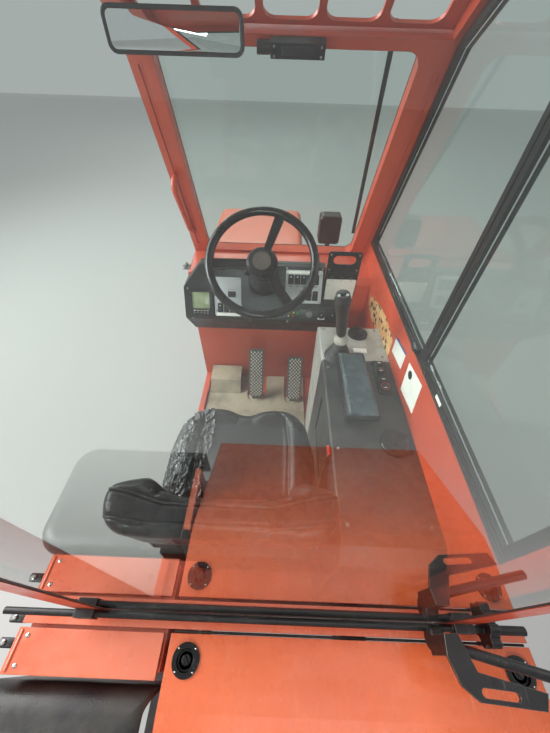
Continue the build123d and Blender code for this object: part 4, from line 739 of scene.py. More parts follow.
class Shape:
    """Mesh of one piece, gathered from several forms with their own finishes."""

    def __init__(self, name: str, *finishes: Finish) -> None:
        """Starts an empty mesh."""
        self.name = name
        self.finishes = finishes
        self.mesh = bmesh.new()

    def rings(self, rings: Sequence[Sequence[Vector]], slot: int = 0, low: bool = True, high: bool = True) -> None:
        """Skins a row of closed rings.

        Args:
            rings: Rings with the same number of points.
            slot: Number of the finish.
            low: Close the first ring.
            high: Close the last ring.
        """
        rows = [[self.mesh.verts.new(point) for point in ring] for ring in rings]
        corners = []
        for a, b in zip(rows, rows[1:]):
            corners += zip(a, a[1:] + a[:1], b[1:] + b[:1], b)
        corners += [rows[0][::-1]] * low + [rows[-1]] * high
        for corner in corners:
            face = self.mesh.faces.new(corner)
            face.material_index = slot
            face.smooth = True

    def plate(self, place: Matrix, outline: Outline, low: float, high: float, slot: int = 0,
              edge: float = 0.0006, tilt: float = 0.0) -> None:
        """Raises a plate with a softened upper edge.

        Args:
            place: Frame of the face that it lies on.
            outline: Its outline, anticlockwise.
            low: Height of its back.
            high: Height of its front.
            slot: Number of the finish.
            edge: Size of the softened edge.
            tilt: Rise of the front for each metre along up.
        """
        middle = sum(y for _, y in outline) / len(outline)
        rows = [(outline, low, 0.0), (outline, high - edge, tilt)]
        rows.append((drawn_in(outline, edge * 0.35), high - edge * 0.3, tilt))
        rows.append((drawn_in(outline, edge), high, tilt))
        self.rings(
            [[place @ Vector((x, y, z + lean * (y - middle))) for x, y in line] for line, z, lean in rows], slot)

    def turned(self, place: Matrix, profile: Sequence[Point], slot: int = 0, steps: int = 28) -> None:
        """Turns a profile round the outward axis.

        Args:
            place: Frame whose outward direction is the axis.
            profile: Radius and height of each ring.
            slot: Number of the finish.
            steps: Points on each ring.
        """
        self.rings([oval(place, r, r, z, steps) for r, z in profile], slot)

    def studs(self, place: Matrix, spots: Iterable[Point], profile: Sequence[Point], slot: int, steps: int) -> None:
        """Turns the same profile at several spots of a face, such as screws; see turned."""
        for spot in spots:
            self.turned(place @ at(*spot), profile, slot, steps)

    def tube(self, path: Sequence[Vector], radius: float, slot: int = 0, steps: int = 10, closed: bool = False) -> None:
        """Lays a round tube along points.

        Args:
            path: The points that it follows.
            radius: Its radius.
            slot: Number of the finish.
            steps: Points round it.
            closed: Join its ends.
        """
        rings = []
        side = None
        for i, point in enumerate(path):
            after = path[(i + 1) % len(path)] if closed or i < len(path) - 1 else point
            before = path[i - 1] if closed or i else point
            along = (after - before).normalized()
            side = along.orthogonal() if side is None else side - along * side.dot(along)
            side.normalize()
            rings.append(oval(framed(side, along.cross(side), along, point), radius, radius, 0.0, steps))
        if closed:
            rings.append(rings[0])
        self.rings(rings, slot, low=not closed, high=not closed)

    def done(self, body: str, sharp: float = 40.0) -> bpy.types.Object:
        """Turns the mesh into a piece of the model.

        Args:
            body: The body that it rides on.
            sharp: Angle over which an edge stays sharp, in degrees.

        Returns:
            The piece.
        """
        bmesh.ops.remove_doubles(self.mesh, verts=self.mesh.verts, dist=0.000001)
        bmesh.ops.recalc_face_normals(self.mesh, faces=self.mesh.faces)
        data = bpy.data.meshes.new(self.name)
        self.mesh.to_mesh(data)
        self.mesh.free()
        data.set_sharp_from_angle(angle=math.radians(sharp))
        return added(data, body, self.finishes)


def added(data: bpy.types.Mesh, body: str, finishes: Iterable[Finish]) -> bpy.types.Object:
    """Puts a mesh into the scene as a piece of the model.

    Args:
        data: The mesh, which has the piece's name.
        body: The body that it rides on.
        finishes: Its finishes.

    Returns:
        The piece.
    """
    for finish in finishes:
        data.materials.append(finish.material())
    piece = bpy.data.objects.new(data.name, data)
    bpy.context.scene.collection.objects.link(piece)
    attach(piece, body)
    log.info("%s: %d faces on %s", piece.name, len(data.polygons), body)
    return piece


@dataclass
class Padding:
    """A padded form: an outline with a rounded rim, puffed by cloth simulation."""

    name: str
    outline: Outline
    levels: Sequence[Point]
    place: Matrix
    finishes: Sequence[Finish]
    cap: float = 0.008
    voxel: float = 0.006
    pressure: float = 4.0
    frames: int = 20

    def build(self, body: str, slot: str) -> bpy.types.Object:
        """Makes the pad.

        Args:
            body: The body that it rides on.
            slot: Not used.

        Returns:
            The pad, with its simulation applied.
        """
        shape = Shape(self.name, *self.finishes)
        shape.rings([
            [self.place @ Vector((x, y, height)) for x, y in drawn_in(self.outline, inset)]
            for height, inset in self.levels])
        piece = shape.done(body, 180.0)
        remesh = piece.modifiers.new("remesh", "REMESH")
        remesh.mode = "VOXEL"
        remesh.voxel_size = self.voxel
        remesh.use_smooth_shade = True
        self.apply(piece)
        self.puff(piece)
        return piece

    @staticmethod
    def apply(piece: bpy.types.Object) -> None:
        """Bakes a piece's modifiers into its mesh.

        Args:
            piece: The piece, which keeps its materials.
        """
        graph = bpy.context.evaluated_depsgraph_get()
        graph.update()
        baked = bpy.data.meshes.new_from_object(piece.evaluated_get(graph))
        piece.modifiers.clear()
        old = piece.data
        for material in list(old.materials)[len(baked.materials):]:
            baked.materials.append(material)
        piece.data = baked
        bpy.data.meshes.remove(old)

    def puff(self, piece: bpy.types.Object) -> None:
        """Blows the pad up a little and keeps each point within the cap.

        Args:
            piece: The pad.
        """
        scene = bpy.context.scene
        start = [vertex.co.copy() for vertex in piece.data.vertices]
        cloth = piece.modifiers.new("cloth", "CLOTH")
        cloth.settings.use_pressure = True
        cloth.settings.uniform_pressure_force = self.pressure
        cloth.settings.effector_weights.gravity = 0.0
        cloth.settings.quality = 4
        cloth.collision_settings.use_collision = False
        cloth.point_cache.frame_start = 1
        cloth.point_cache.frame_end = self.frames
        for number in range(1, self.frames + 1):
            scene.frame_set(number)
        graph = bpy.context.evaluated_depsgraph_get()
        blown = [vertex.co.copy() for vertex in piece.evaluated_get(graph).data.vertices]
        piece.modifiers.remove(cloth)
        scene.frame_set(1)
        for vertex, a, b in zip(piece.data.vertices, start, blown):
            shift = b - a
            if shift.length > self.cap:
                shift *= self.cap / shift.length
            vertex.co = a + shift

    @staticmethod
    def smooth(piece: bpy.types.Object) -> None:
        """Adds one baked subdivision and smooth shading.

        Args:
            piece: The pad.
        """
        divide = piece.modifiers.new("divide", "SUBSURF")
        divide.levels = divide.render_levels = 1
        Padding.apply(piece)
        for face in piece.data.polygons:
            face.use_smooth = True

    @staticmethod
    def groove(piece: bpy.types.Object, line: Sequence[Vector], reach: float, depth: float) -> None:
        """Presses a seam into a pad.

        Args:
            piece: The pad.
            line: Close points along the seam, on the pad's skin.
            reach: How far from the seam the skin is drawn in.
            depth: How deep the seam lies.
        """
        tree = KDTree(len(line))
        for i, point in enumerate(line):
            tree.insert(point, i)
        tree.balance()
        normals = [vertex.normal.copy() for vertex in piece.data.vertices]
        for vertex, normal in zip(piece.data.vertices, normals):
            far = tree.find(vertex.co)[2]
            if far < reach:
                vertex.co -= normal * depth * (1 - (far / reach) ** 2) ** 2

    @staticmethod
    def on_skin(piece: bpy.types.Object, points: Sequence[Vector], towards: Vector,
                spacing: float = 0.003) -> list[Vector]:
        """Throws a line onto a pad's skin.

        Args:
            piece: The pad.
            points: Corners of the line, off the skin.
            towards: Direction of the throw.
            spacing: Distance between the points that come back.

        Returns:
            Points on the skin.
        """
        skin = BVHTree.FromPolygons(
            [vertex.co for vertex in piece.data.vertices], [tuple(face.vertices) for face in piece.data.polygons])
        found = []
        for a, b in zip(points, points[1:]):
            count = max(1, round((b - a).length / spacing))
            hits = (skin.ray_cast(a.lerp(b, i / count), towards)[0] for i in range(count))
            found += [hit for hit in hits if hit]
        return found


def ease(low: float, high: float, value: float) -> float:
    """Gives 0 to 1, smoothly, as a value goes from low to high."""
    t = min(1.0, max(0.0, (value - low) / (high - low)))
    return t * t * (3 - 2 * t)


@dataclass
class DriverSeat:
    """Seat cushion, low backrest with its wings, and the armrest pad."""

    centre_x: float = -0.084
    half_width: float = 0.2105
    rear_y: float = -0.158
    front_y: float = 0.159
    base_z: float = 0.6635
    top_z: float = 0.7625
    dish: float = 0.016
    panel_half: float = 0.127
    film_edge_x: float = -0.172
    film_ends_y: tuple[float, float] = (-0.131, 0.151)
    back_origin: tuple[float, float, float] = (-0.084, -0.195, 0.782)
    back_tilt: float = 8.0
    back_half: float = 0.2115
    back_rear: float = -0.042
    back_front: float = 0.012
    wing_front: float = 0.046
    wing_width: float = 0.080
    arm_x: float = 0.231
    arm_ends: tuple[float, float] = (0.037, 0.281)
    arm_z: tuple[float, float] = (0.8404, 0.8742)

    def build(self) -> None:
        """Makes the whole seat."""
        self.cushion()
        self.backrest()
        self.armrest()
        dress(CHASSIS, "seat_pedestal", "seat_pan")
        dress(DISPLAY, "belt_buckle")
        button = Shape("buckle_button", RED)
        button.plate(at(0.1447, -0.025), rounded(0.0072, 0.026, 0.002), 0.8372, 0.8402, 0, 0.0008)
        button.done("cab")

    def cushion(self) -> None:
        """Makes the seat cushion with its two lobes, its sunk panel and the wrapped bolster."""
        w, f, x = self.half_width, self.front_y, self.centre_x
        half = [(0.0, f - 0.017), (0.026, f - 0.012), (0.066, f), (w - 0.086, f), (w - 0.044, f - 0.022),
                (w - 0.014, f - 0.066), (w, -0.005), (w - 0.010, self.rear_y)]
        outline = [(x - a, b) for a, b in half[::-1]] + [(x + a, b) for a, b in half[1:]]
        outline = softened(outline[::-1], 3)
        height = self.top_z - self.base_z
        levels = ((0.0, 0.012), (0.004, 0.004), (0.014, 0.0), (height - 0.032, 0.0), (height - 0.016, 0.004),
                  (height - 0.006, 0.011), (height, 0.022))
        pad = Padding("seat_pad", outline, levels, at(0, 0, self.base_z), (BLACK_VINYL, INSERT), cap=0.0075)
        piece = pad.build("seat", "vinyl_black")
        for vertex in piece.data.vertices:
            across = abs(vertex.co.x - x)
            if vertex.co.z > self.top_z - 0.03:
                inner = ease(0.150, 0.112, across)
                back = ease(f - 0.018, f - 0.075, vertex.co.y)
                lobe = 0.35 * ease(0.05, 0.0, across)
                vertex.co.z -= self.dish * inner * (back + lobe * (1 - back))
        Padding.smooth(piece)
        down = Vector((0, 0, -1))
        above = self.top_z + 0.05
        channel = ((0.128, self.rear_y + 0.012), (0.130, 0.03), (0.122, f - 0.045), (0.098, f - 0.012))
        for side in (-1, 1):
            line = Padding.on_skin(piece, [Vector((x + side * a, b, above)) for a, b in channel], down)
            Padding.groove(piece, line, 0.007, 0.0045)
        front = [p for p in drawn_in(outline, 0.013) if p[1] > 0.02]
        start = max(range(len(front)), key=lambda i: math.dist(front[i - 1], front[i]))
        front = front[start:] + front[:start]
        cord = Padding.on_skin(piece, [Vector((a, b, above)) for a, b in front], down, 0.006)
        Padding.groove(piece, cord, 0.005, 0.003)
        for face in piece.data.polygons:
            inside = abs(face.center.x - x) < self.panel_half and face.center.y < f - 0.036
            if face.normal.z > 0.55 and inside:
                face.material_index = 1
        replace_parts(piece, "seat_cushion")
        self.piping("seat_piping", cord, "seat")
        self.film(piece)

    @staticmethod
    def piping(name: str, line: Sequence[Vector], body: str) -> None:
        """Lays a thin welt along a seam.

        Args:
            name: Name of the piece.
            line: Points along the seam.
            body: The body that it rides on.
        """
        eased = [line[0]] + [(a + b * 2 + c) / 4 for a, b, c in zip(line, line[1:], line[2:])] + [line[-1]]
        shape = Shape(name, PIPING)
        shape.tube(eased, 0.0021, steps=8)
        shape.done(body, 180.0)

    def film(self, pad: bpy.types.Object) -> None:
        """Wraps crinkled film round the left bolster.

        Args:
            pad: The finished seat pad.
        """
        skin = bmesh.new()
        skin.from_mesh(pad.data)
        rear, front = self.film_ends_y
        away = []
        for face in skin.faces:
            centre = face.calc_center_median()
            edge = self.film_edge_x + 0.010 * math.sin(centre.y * 30.0) + 0.006 * math.sin(centre.z * 90.0)
            if centre.x > edge or centre.z < self.base_z + 0.018 or not rear <= centre.y <= front:
                away.append(face)
        bmesh.ops.delete(skin, geom=away, context="FACES")
        bmesh.ops.subdivide_edges(skin, edges=skin.edges, cuts=1, use_grid_fill=True)
        skin.normal_update()
        for vertex in skin.verts:
            where = vertex.co
            folds = 1 - min(1.0, abs(noise.noise(Vector((where.x * 60, where.y * 24, where.z * 60)))) * 3.2)
            fine = 1 - min(1.0, abs(noise.noise(where * 130 + Vector((4.0, 1.0, 2.0)))) * 3)
            vertex.co = where + vertex.normal * (0.0012 + 0.0042 * folds ** 2 + 0.0016 * fine)
        data = bpy.data.meshes.new("bolster_film")
        skin.to_mesh(data)
        skin.free()
        for face in data.polygons:
            face.use_smooth = True
            face.material_index = 0
        added(data, "seat", (WRAP,))

    def backrest(self) -> None:
        """Makes the low backrest with its wings, seams and lower part."""
        h, rear, front, wing = self.back_half, self.back_rear, self.back_front, self.wing_front
        fold = h - self.wing_width
        place = at(*self.back_origin) @ spun(self.back_tilt, "X")
        corner = 0.040
        half = [(0.0, front), (fold - 0.030, front), (fold, wing - 0.006), (fold + 0.012, wing), (h - 0.016, wing),
                (h, wing - 0.018), (h, rear + corner), (h - 0.012, rear + 0.012), (h - corner, rear), (0.0, rear)]
        outline = [(-a, b) for a, b in half[:-1]][::-1] + half[1:]
        outline = softened(outline[::-1], 2)
        levels = ((0.050, 0.012), (0.054, 0.004), (0.062, 0.0), (0.192, 0.0), (0.210, 0.003), (0.221, 0.009),
                  (0.227, 0.018))
        pad = Padding("backrest_pad", outline, levels, place, (BLACK_VINYL, INSERT), cap=0.0065)
        piece = pad.build("seat_back", "vinyl_black")
        Padding.smooth(piece)
        toward_rear = (place.to_3x3() @ Vector((0, -1, 0))).normalized()
        down = (place.to_3x3() @ Vector((0, 0, -1))).normalized()
        front_seam = [(-h + 0.004, 0.024), (-h + 0.05, 0.018), (-0.10, 0.002), (0.10, 0.002), (h - 0.05, 0.018),
                      (h - 0.004, 0.024)]
        rear_seam = [(-h + 0.014, rear + 0.020), (-0.12, rear + 0.012), (0.12, rear + 0.012), (h - 0.014, rear + 0.020)]
        for number, seam in enumerate((front_seam, rear_seam)):
            line = Padding.on_skin(piece, [place @ Vector((a, b, 0.30)) for a, b in seam], down)
            Padding.groove(piece, line, 0.007, 0.004)
            self.piping(f"back_piping_{number}", line, "seat_back")
        for side in (-1, 1):
            crease = [place @ Vector((side * (fold - 0.016), 0.12, z)) for z in (0.215, 0.13, 0.060)]
            line = Padding.on_skin(piece, crease, toward_rear)
            if len(line) > 3:
                Padding.groove(piece, line, 0.010, 0.005)
        lower = Shape("back_panel", BLACK_VINYL, CHASSIS)
        panel = rounded(2 * h - 0.042, 0.045, 0.014, (0.0, (rear + front) / 2 - 0.001), 5)
        lower.rings([
            [place @ Vector((x, y, z)) for x, y in drawn_in(panel, inset)]
            for z, inset in ((-0.009, 0.006), (-0.004, 0.0), (0.02, -0.002), (0.056, -0.001))])
        rod = ((0.0085, -h + 0.004), (0.009, -h + 0.006), (0.009, h - 0.006), (0.0085, h - 0.004))
        lower.turned(place @ spun(90, "Y"), rod, 1)
        base = lower.done("seat_back")
        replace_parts(piece, "backrest")
        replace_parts(base, "backrest")

    def armrest(self) -> None:
        """Makes the armrest: a block and a padded top with a rolled edge."""
        x = self.arm_x
        rear, front = self.arm_ends
        low, high = self.arm_z
        corners = [(x - 0.044, rear), (x + 0.050, rear), (x + 0.043, front), (x - 0.044, front)]
        outline = cornered(corners, 0.014, 5)
        levels = ((0.0, 0.004), (0.003, 0.0), (0.014, 0.0), (0.020, 0.002), (0.0235, 0.006), (0.0245, 0.012))
        pad = Padding("armrest_pad", outline, levels, at(0, 0, high), (BLACK_VINYL, GREY_VINYL), cap=0.0028,
                      voxel=0.0035)
        piece = pad.build("cab", "vinyl_grey")
        Padding.smooth(piece)
        inner = drawn_in(outline, 0.0085)
        line = Padding.on_skin(piece, [Vector((a, b, 0.95)) for a, b in inner + inner[:1]], Vector((0, 0, -1)))
        Padding.groove(piece, line, 0.0035, 0.0016)
        for face in piece.data.polygons:
            centre = face.center
            right = x + 0.0352 + (front - 0.009 - centre.y) * 0.029
            if face.normal.z > 0.5 and x - 0.036 < centre.x < right and rear + 0.008 < centre.y < front - 0.008:
                face.material_index = 1
        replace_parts(piece, "armrest")
        block = Shape("armrest_block", CHASSIS)
        block.plate(at(x + 0.002, 0.156), rounded(0.073, 0.197, 0.008), low, high + 0.0003)
        base = block.done("cab")
        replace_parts(base, "armrest")


@dataclass
class Dashboard:
    """Dash housing with its display, switch panels, key strip and labels."""

    low: tuple[float, float] = (0.575, 0.780)
    high: tuple[float, float] = (0.656, 0.968)
    display: tuple[float, float] = (-0.302, 0.054)
    left_panel: tuple[float, float] = (-0.196, 0.082)
    right_panel: tuple[float, float] = (0.097, 0.130)
    strip: tuple[float, float] = (0.148, 0.025)
    gap: float = 0.0003

    def face(self, spot: tuple[float, float], out: float = 0.0) -> Matrix:
        """Gives a frame on the sloping face of the dash.

        Args:
            spot: The spot across and along the face.
            out: How far out from the face.

        Returns:
            The frame.
        """
        rise = Vector((0, self.high[0] - self.low[0], self.high[1] - self.low[1]))
        start = Vector((spot[0], self.low[0], self.low[1])) + rise.normalized() * spot[1]
        return facing(start, (1, 0, 0), rise) @ at(0, 0, out)

    def build(self) -> None:
        """Makes the dash fittings and dresses the housing."""
        dress(DASH, "dash")
        dress(DISPLAY, "dash_display")
        self.screen()
        self.panels()
        self.key_strip()
        self.console_rockers()
        self.trim()
        self.pillar_foot()

    def screen(self) -> None:
        """Makes the greenish screen with its soft keys."""
        place = self.face(self.display)
        shape = Shape("display_screen", LCD, WHITE, DISPLAY)
        shape.plate(place, rounded(0.068, 0.064, 0.003, (0, 0.012)), 0.0045, 0.0062, 0)
        for i in range(5):
            x = (i - 2) * 0.013
            shape.plate(place, rounded(0.0065, 0.0026, 0.001, (x, -0.0275)), 0.009, 0.0097, 1, 0.0002)
            shape.plate(place, rounded(0.0085, 0.0076, 0.002, (x, -0.036)), 0.0113, 0.0128, 2, 0.0008)
            shape.plate(place, rounded(0.005, 0.0018, 0.0008, (x, -0.036)), 0.0126, 0.0131, 1, 0.0002)
        shape.done("cab")

    @staticmethod
    def rocker(shape: Shape, place: Matrix, spot: Point, mark: int = 3) -> None:
        """Adds one rocker switch: its frame, its two halves and its symbol.

        Args:
            shape: The mesh that it goes into.
            place: Frame of its panel.
            spot: Its middle on the panel.
            mark: Number of the finish of its symbol.
        """
        x, y = spot
        shape.plate(place, rounded(0.0212, 0.0375, 0.0025, spot), 0.0048, 0.0066, 2, 0.0008)
        shape.plate(place, rounded(0.0180, 0.0170, 0.0015, (x, y + 0.0085)), 0.006, 0.0110, 2, 0.0010, 0.22)
        shape.plate(place, rounded(0.0180, 0.0170, 0.0015, (x, y - 0.0085)), 0.006, 0.0103, 2, 0.0010, -0.10)
        shape.plate(place, rounded(0.0060, 0.0030, 0.0008, (x, y + 0.0095)), 0.0100, 0.0119, mark, 0.0002, 0.22)

    def panels(self) -> None:
        """Makes the two grey switch panels."""
        shape = Shape("switch_plates", PANEL, DISPLAY, DASH, WHITE, RED, STEEL)
        left = self.face(self.left_panel, self.gap)
        right = self.face(self.right_panel, self.gap)
        shape.plate(left, rounded(0.106, 0.150, 0.006), 0.0, 0.005, 0, 0.0012)
        for x in (-0.030, -0.006, 0.018):
            self.rocker(shape, left, (x, -0.042))
        shape.plate(left, rounded(0.030, 0.022, 0.003, (0.016, 0.012)), 0.004, 0.0088, 1, 0.0015)
        shape.plate(left, rounded(0.024, 0.012, 0.001, (0.016, 0.013)), 0.0085, 0.0092, 2, 0.0003)
        for i in range(3):
            shape.plate(left, rounded(0.005, 0.002, 0.0006, (0.006 + i * 0.010, 0.030)), 0.0048, 0.0054, 2, 0.0002)
        shape.plate(left, rounded(0.094, 0.013, 0.001, (0.0, -0.0682)), 0.0048, 0.0055, 3, 0.0002)
        shape.plate(right, rounded(0.140, 0.124, 0.006), 0.0, 0.005, 0, 0.0012)
        for i in range(5):
            self.rocker(shape, right, (-0.050 + i * 0.024, 0.028))
            shape.plate(right, rounded(0.010, 0.0026, 0.0006, (-0.050 + i * 0.024, 0.0025)), 0.0048, 0.0054, 2, 0.0002)
        for i, mark in enumerate((3, 3, 4)):
            self.rocker(shape, right, (-0.002 + i * 0.024, -0.032), mark)
        shape.plate(right, rounded(0.112, 0.009, 0.001, (-0.004, 0.0545)), 0.0048, 0.0056, 3, 0.0002)
        for place, reach, ends in ((left, 0.046, (-0.054, 0.068)), (right, 0.063, (-0.055, 0.046))):
            spots = [(x, y, 0.005) for x in (-reach, reach) for y in ends]
            shape.studs(place, spots, ((0.0030, 0.0), (0.0030, 0.0008), (0.0018, 0.0016)), 5, 14)
        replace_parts(shape.done("cab"), "switch_panels")

    def key_strip(self) -> None:
        """Makes the black strip with its lamps, key switch and sockets."""
        place = self.face(self.strip, self.gap)
        shape = Shape("key_strip", DASH, STEEL, AMBER, GREEN, RED, WHITE, BLUE)
        shape.plate(place, rounded(0.250, 0.040, 0.005), 0.0, 0.004, 0, 0.0012)
        shape.plate(place, rounded(0.054, 0.034, 0.003, (-0.088, -0.001)), 0.0035, 0.0048, 0, 0.0006)
        for (x, y), slot in zip(((-0.104, 0.006), (-0.104, -0.008), (-0.084, 0.006), (-0.084, -0.008)), (2, 2, 2, 4)):
            shape.turned(place @ at(x, y, 0.004), ((0.0046, 0.0), (0.0046, 0.0026), (0.0034, 0.0031)), 0, 18)
            shape.turned(place @ at(x, y, 0.006), ((0.0034, 0.0), (0.0033, 0.0014), (0.0018, 0.0022)), slot, 18)
        shape.plate(place, rounded(0.009, 0.013, 0.001, (-0.067, 0.003)), 0.004, 0.0056, 3, 0.0004)
        shape.plate(place, rounded(0.012, 0.005, 0.001, (-0.117, -0.013)), 0.0035, 0.0046, 6, 0.0002)
        key = place @ at(-0.022, 0, 0.004)
        barrel = ((0.0135, 0.0), (0.0135, 0.003), (0.0118, 0.0062), (0.0095, 0.0068), (0.0090, 0.0045), (0.006, 0.0045))
        shape.turned(key, barrel, 1, 30)
        grip = key @ spun(25) @ at(0, 0, 0.004) @ spun(90, "X")
        shape.plate(grip, rounded(0.0150, 0.0150, 0.005, (0, 0.0085)), -0.0013, 0.0013, 1, 0.0004)
        sockets = [(x, 0, 0.004) for x in (0.026, 0.070)]
        cup = ((0.0152, 0.0), (0.0152, 0.0060), (0.0140, 0.0088), (0.0112, 0.0090), (0.0100, 0.0075), (0.0098, 0.002),
               (0.003, 0.002))
        shape.studs(place, sockets, cup, 0, 30)
        shape.studs(place, sockets, ((0.0036, 0.002), (0.0036, 0.0062), (0.0024, 0.0068)), 1, 14)
        shape.plate(place, rounded(0.028, 0.008, 0.001, (0.026, -0.0155)), 0.0035, 0.0047, 5, 0.0002)
        button = ((0.007, 0.0), (0.007, 0.004), (0.0055, 0.006), (0.003, 0.0062))
        shape.turned(place @ at(0.106, 0.003, 0.004), button, 0, 20)
        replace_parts(shape.done("cab"), "switch_panels")

    @staticmethod
    def console_rockers() -> None:
        """Makes the small black panel with two rockers beside the armrest."""
        place = at(0.330, 0.228, SideConsole.top)
        shape = Shape("console_rockers", RIM, WHITE, RING_RED)
        shape.plate(place, rounded(0.040, 0.134, 0.006), 0.0, 0.005, 0, 0.0012)
        for y in (-0.034, 0.034):
            shape.plate(place, rounded(0.028, 0.050, 0.004, (0, y)), 0.0045, 0.0072, 0, 0.0012)
            for side, high, tilt in ((1, 0.0126, 0.16), (-1, 0.0118, -0.10)):
                shape.plate(place, rounded(0.023, 0.022, 0.003, (0, y + side * 0.0115)), 0.007, high, 0, 0.0014, tilt)
            for side, low, high, tilt in ((1, 0.0118, 0.0138, 0.16), (-1, 0.0115, 0.0131, -0.10)):
                shape.plate(place, rounded(0.010, 0.0022, 0.001, (0, y + side * 0.016)), low, high, 1, 0.0002, tilt)
        shape.tube(oval(place @ at(0, -0.046), 0.0125, 0.0125, 0.0135, 32), 0.0010, 2, 6, closed=True)
        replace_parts(shape.done("cab"), "switch_panels")

    def trim(self) -> None:
        """Makes the ridges and the screws of the housing."""
        shape = Shape("dash_trim", DASH, STEEL, WHITE)
        shape.plate(Matrix.Identity(4), rounded(0.064, 0.016, 0.006, (-0.196, 0.690)), 0.9655, 0.9705, 0, 0.002)
        shape.plate(Matrix.Identity(4), rounded(0.300, 0.006, 0.002, (0.02, 0.676)), 0.9655, 0.9690, 0, 0.001)
        for x in (-0.352, -0.262, -0.13, 0.03, 0.165):
            place = self.face((x, 0.197 if x > -0.28 else 0.110))
            shape.turned(place, ((0.0042, 0.0), (0.0042, 0.0012), (0.0028, 0.0024)), 1, 16)
        for x in (-0.34, -0.11, 0.04, 0.26):
            place = facing((x, 0.5745, 0.7715), (1, 0, 0), (0, 0.02, 1))
            shape.turned(place, ((0.0042, -0.004), (0.0042, 0.0022), (0.0028, 0.0032)), 1, 16)
        shape.done("cab")

    @staticmethod
    def pillar_foot() -> None:
        """Makes the bright plate with two nuts at the foot of the left pillar."""
        shape = Shape("pillar_fitting", STEEL)
        place = at(-0.341, 0.622, 0.9685)
        shape.plate(place, rounded(0.030, 0.034, 0.004), 0.0, 0.0025, 0, 0.0006)
        nut = ((0.0062, 0.0), (0.0062, 0.0052), (0.0046, 0.0066), (0.0030, 0.0120))
        shape.studs(place, ((0, -0.010, 0.0025), (0, 0.010, 0.0025)), nut, 0, 6)
        shape.done("cab")


@dataclass
class Steering:
    """Steering wheel, its column and the lever on the left."""

    hub: tuple[float, float, float] = (-0.056, 0.525, 1.050)
    tilt: float = 50.0
    hub_radius: float = 0.051
    ring_radius: float = 0.174
    spokes: tuple[float, ...] = (71.0, 183.0, 304.0)
    lever_drop: float = 0.0525

    def plane(self, drop: float = 0.0) -> Matrix:
        """Gives the frame of the wheel, whose outward direction points at the driver.

        Args:
            drop: How far down the column it lies.

        Returns:
            The frame.
        """
        turn = math.radians(self.tilt)
        axis = Vector((0, -math.cos(turn), math.sin(turn)))
        return facing(Vector(self.hub) - axis * drop, (1, 0, 0), (0, math.sin(turn), math.cos(turn)))

    def build(self) -> None:
        """Dresses the wheel and column and adds their small parts."""
        dress(RIM, "steering_wheel")
        dress(DASH, "steering_column", "column_lever")
        self.cap()
        self.inlays()
        self.lever_box()

    def cap(self) -> None:
        """Makes the round cap in the middle of the hub."""
        shape = Shape("hub_cap", HUB, RIM)
        place = self.plane()
        shape.turned(place, ((0.0300, 0.0135), (0.0300, 0.0146), (0.0170, 0.0152), (0.0166, 0.0146)), 0, 40)
        disc = ((0.0138, 0.0100), (0.0138, 0.0122), (0.0125, 0.0132), (0.0085, 0.0136), (0.0070, 0.0128),
                (0.0030, 0.0128))
        shape.turned(place, disc, 1, 32)
        rim = self.hub_radius * 0.995
        shape.tube(oval(place, rim, rim, -0.0065, 56), 0.0013, 1, 6, closed=True)
        shape.done("steering_wheel")

    def inlays(self) -> None:
        """Makes the rivets in the slots of the spokes."""
        shape = Shape("spoke_studs", RIM)
        spots = [(reach, 0, 0.0008) for reach in (self.hub_radius + 0.034, self.ring_radius - 0.034)]
        for angle in self.spokes:
            rivet = ((0.0026, -0.002), (0.0026, 0.0004), (0.0016, 0.0010))
            shape.studs(self.plane() @ spun(angle), spots, rivet, 0, 12)
        shape.done("steering_wheel")

    def lever_box(self) -> None:
        """Makes the screws and marks of the lever housing and the collar of the column."""
        shape = Shape("column_details", STEEL, WHITE, DASH)
        low = self.plane(self.lever_drop)
        screw = ((0.0026, -0.001), (0.0026, 0.0010), (0.0016, 0.0018))
        shape.studs(low, ((-0.058, 0.011), (-0.058, -0.011), (-0.038, 0.012)), screw, 0, 12)
        shape.plate(low, rounded(0.012, 0.004, 0.001, (-0.048, 0.0)), -0.001, 0.0006, 1, 0.0002)
        for k in range(3):
            reach = 0.0318 + 0.0012 * k
            shape.tube(oval(low, reach, reach, -0.0030 - k * 0.011, 40), 0.0011, 2, 6, closed=True)
        shape.done("cab")


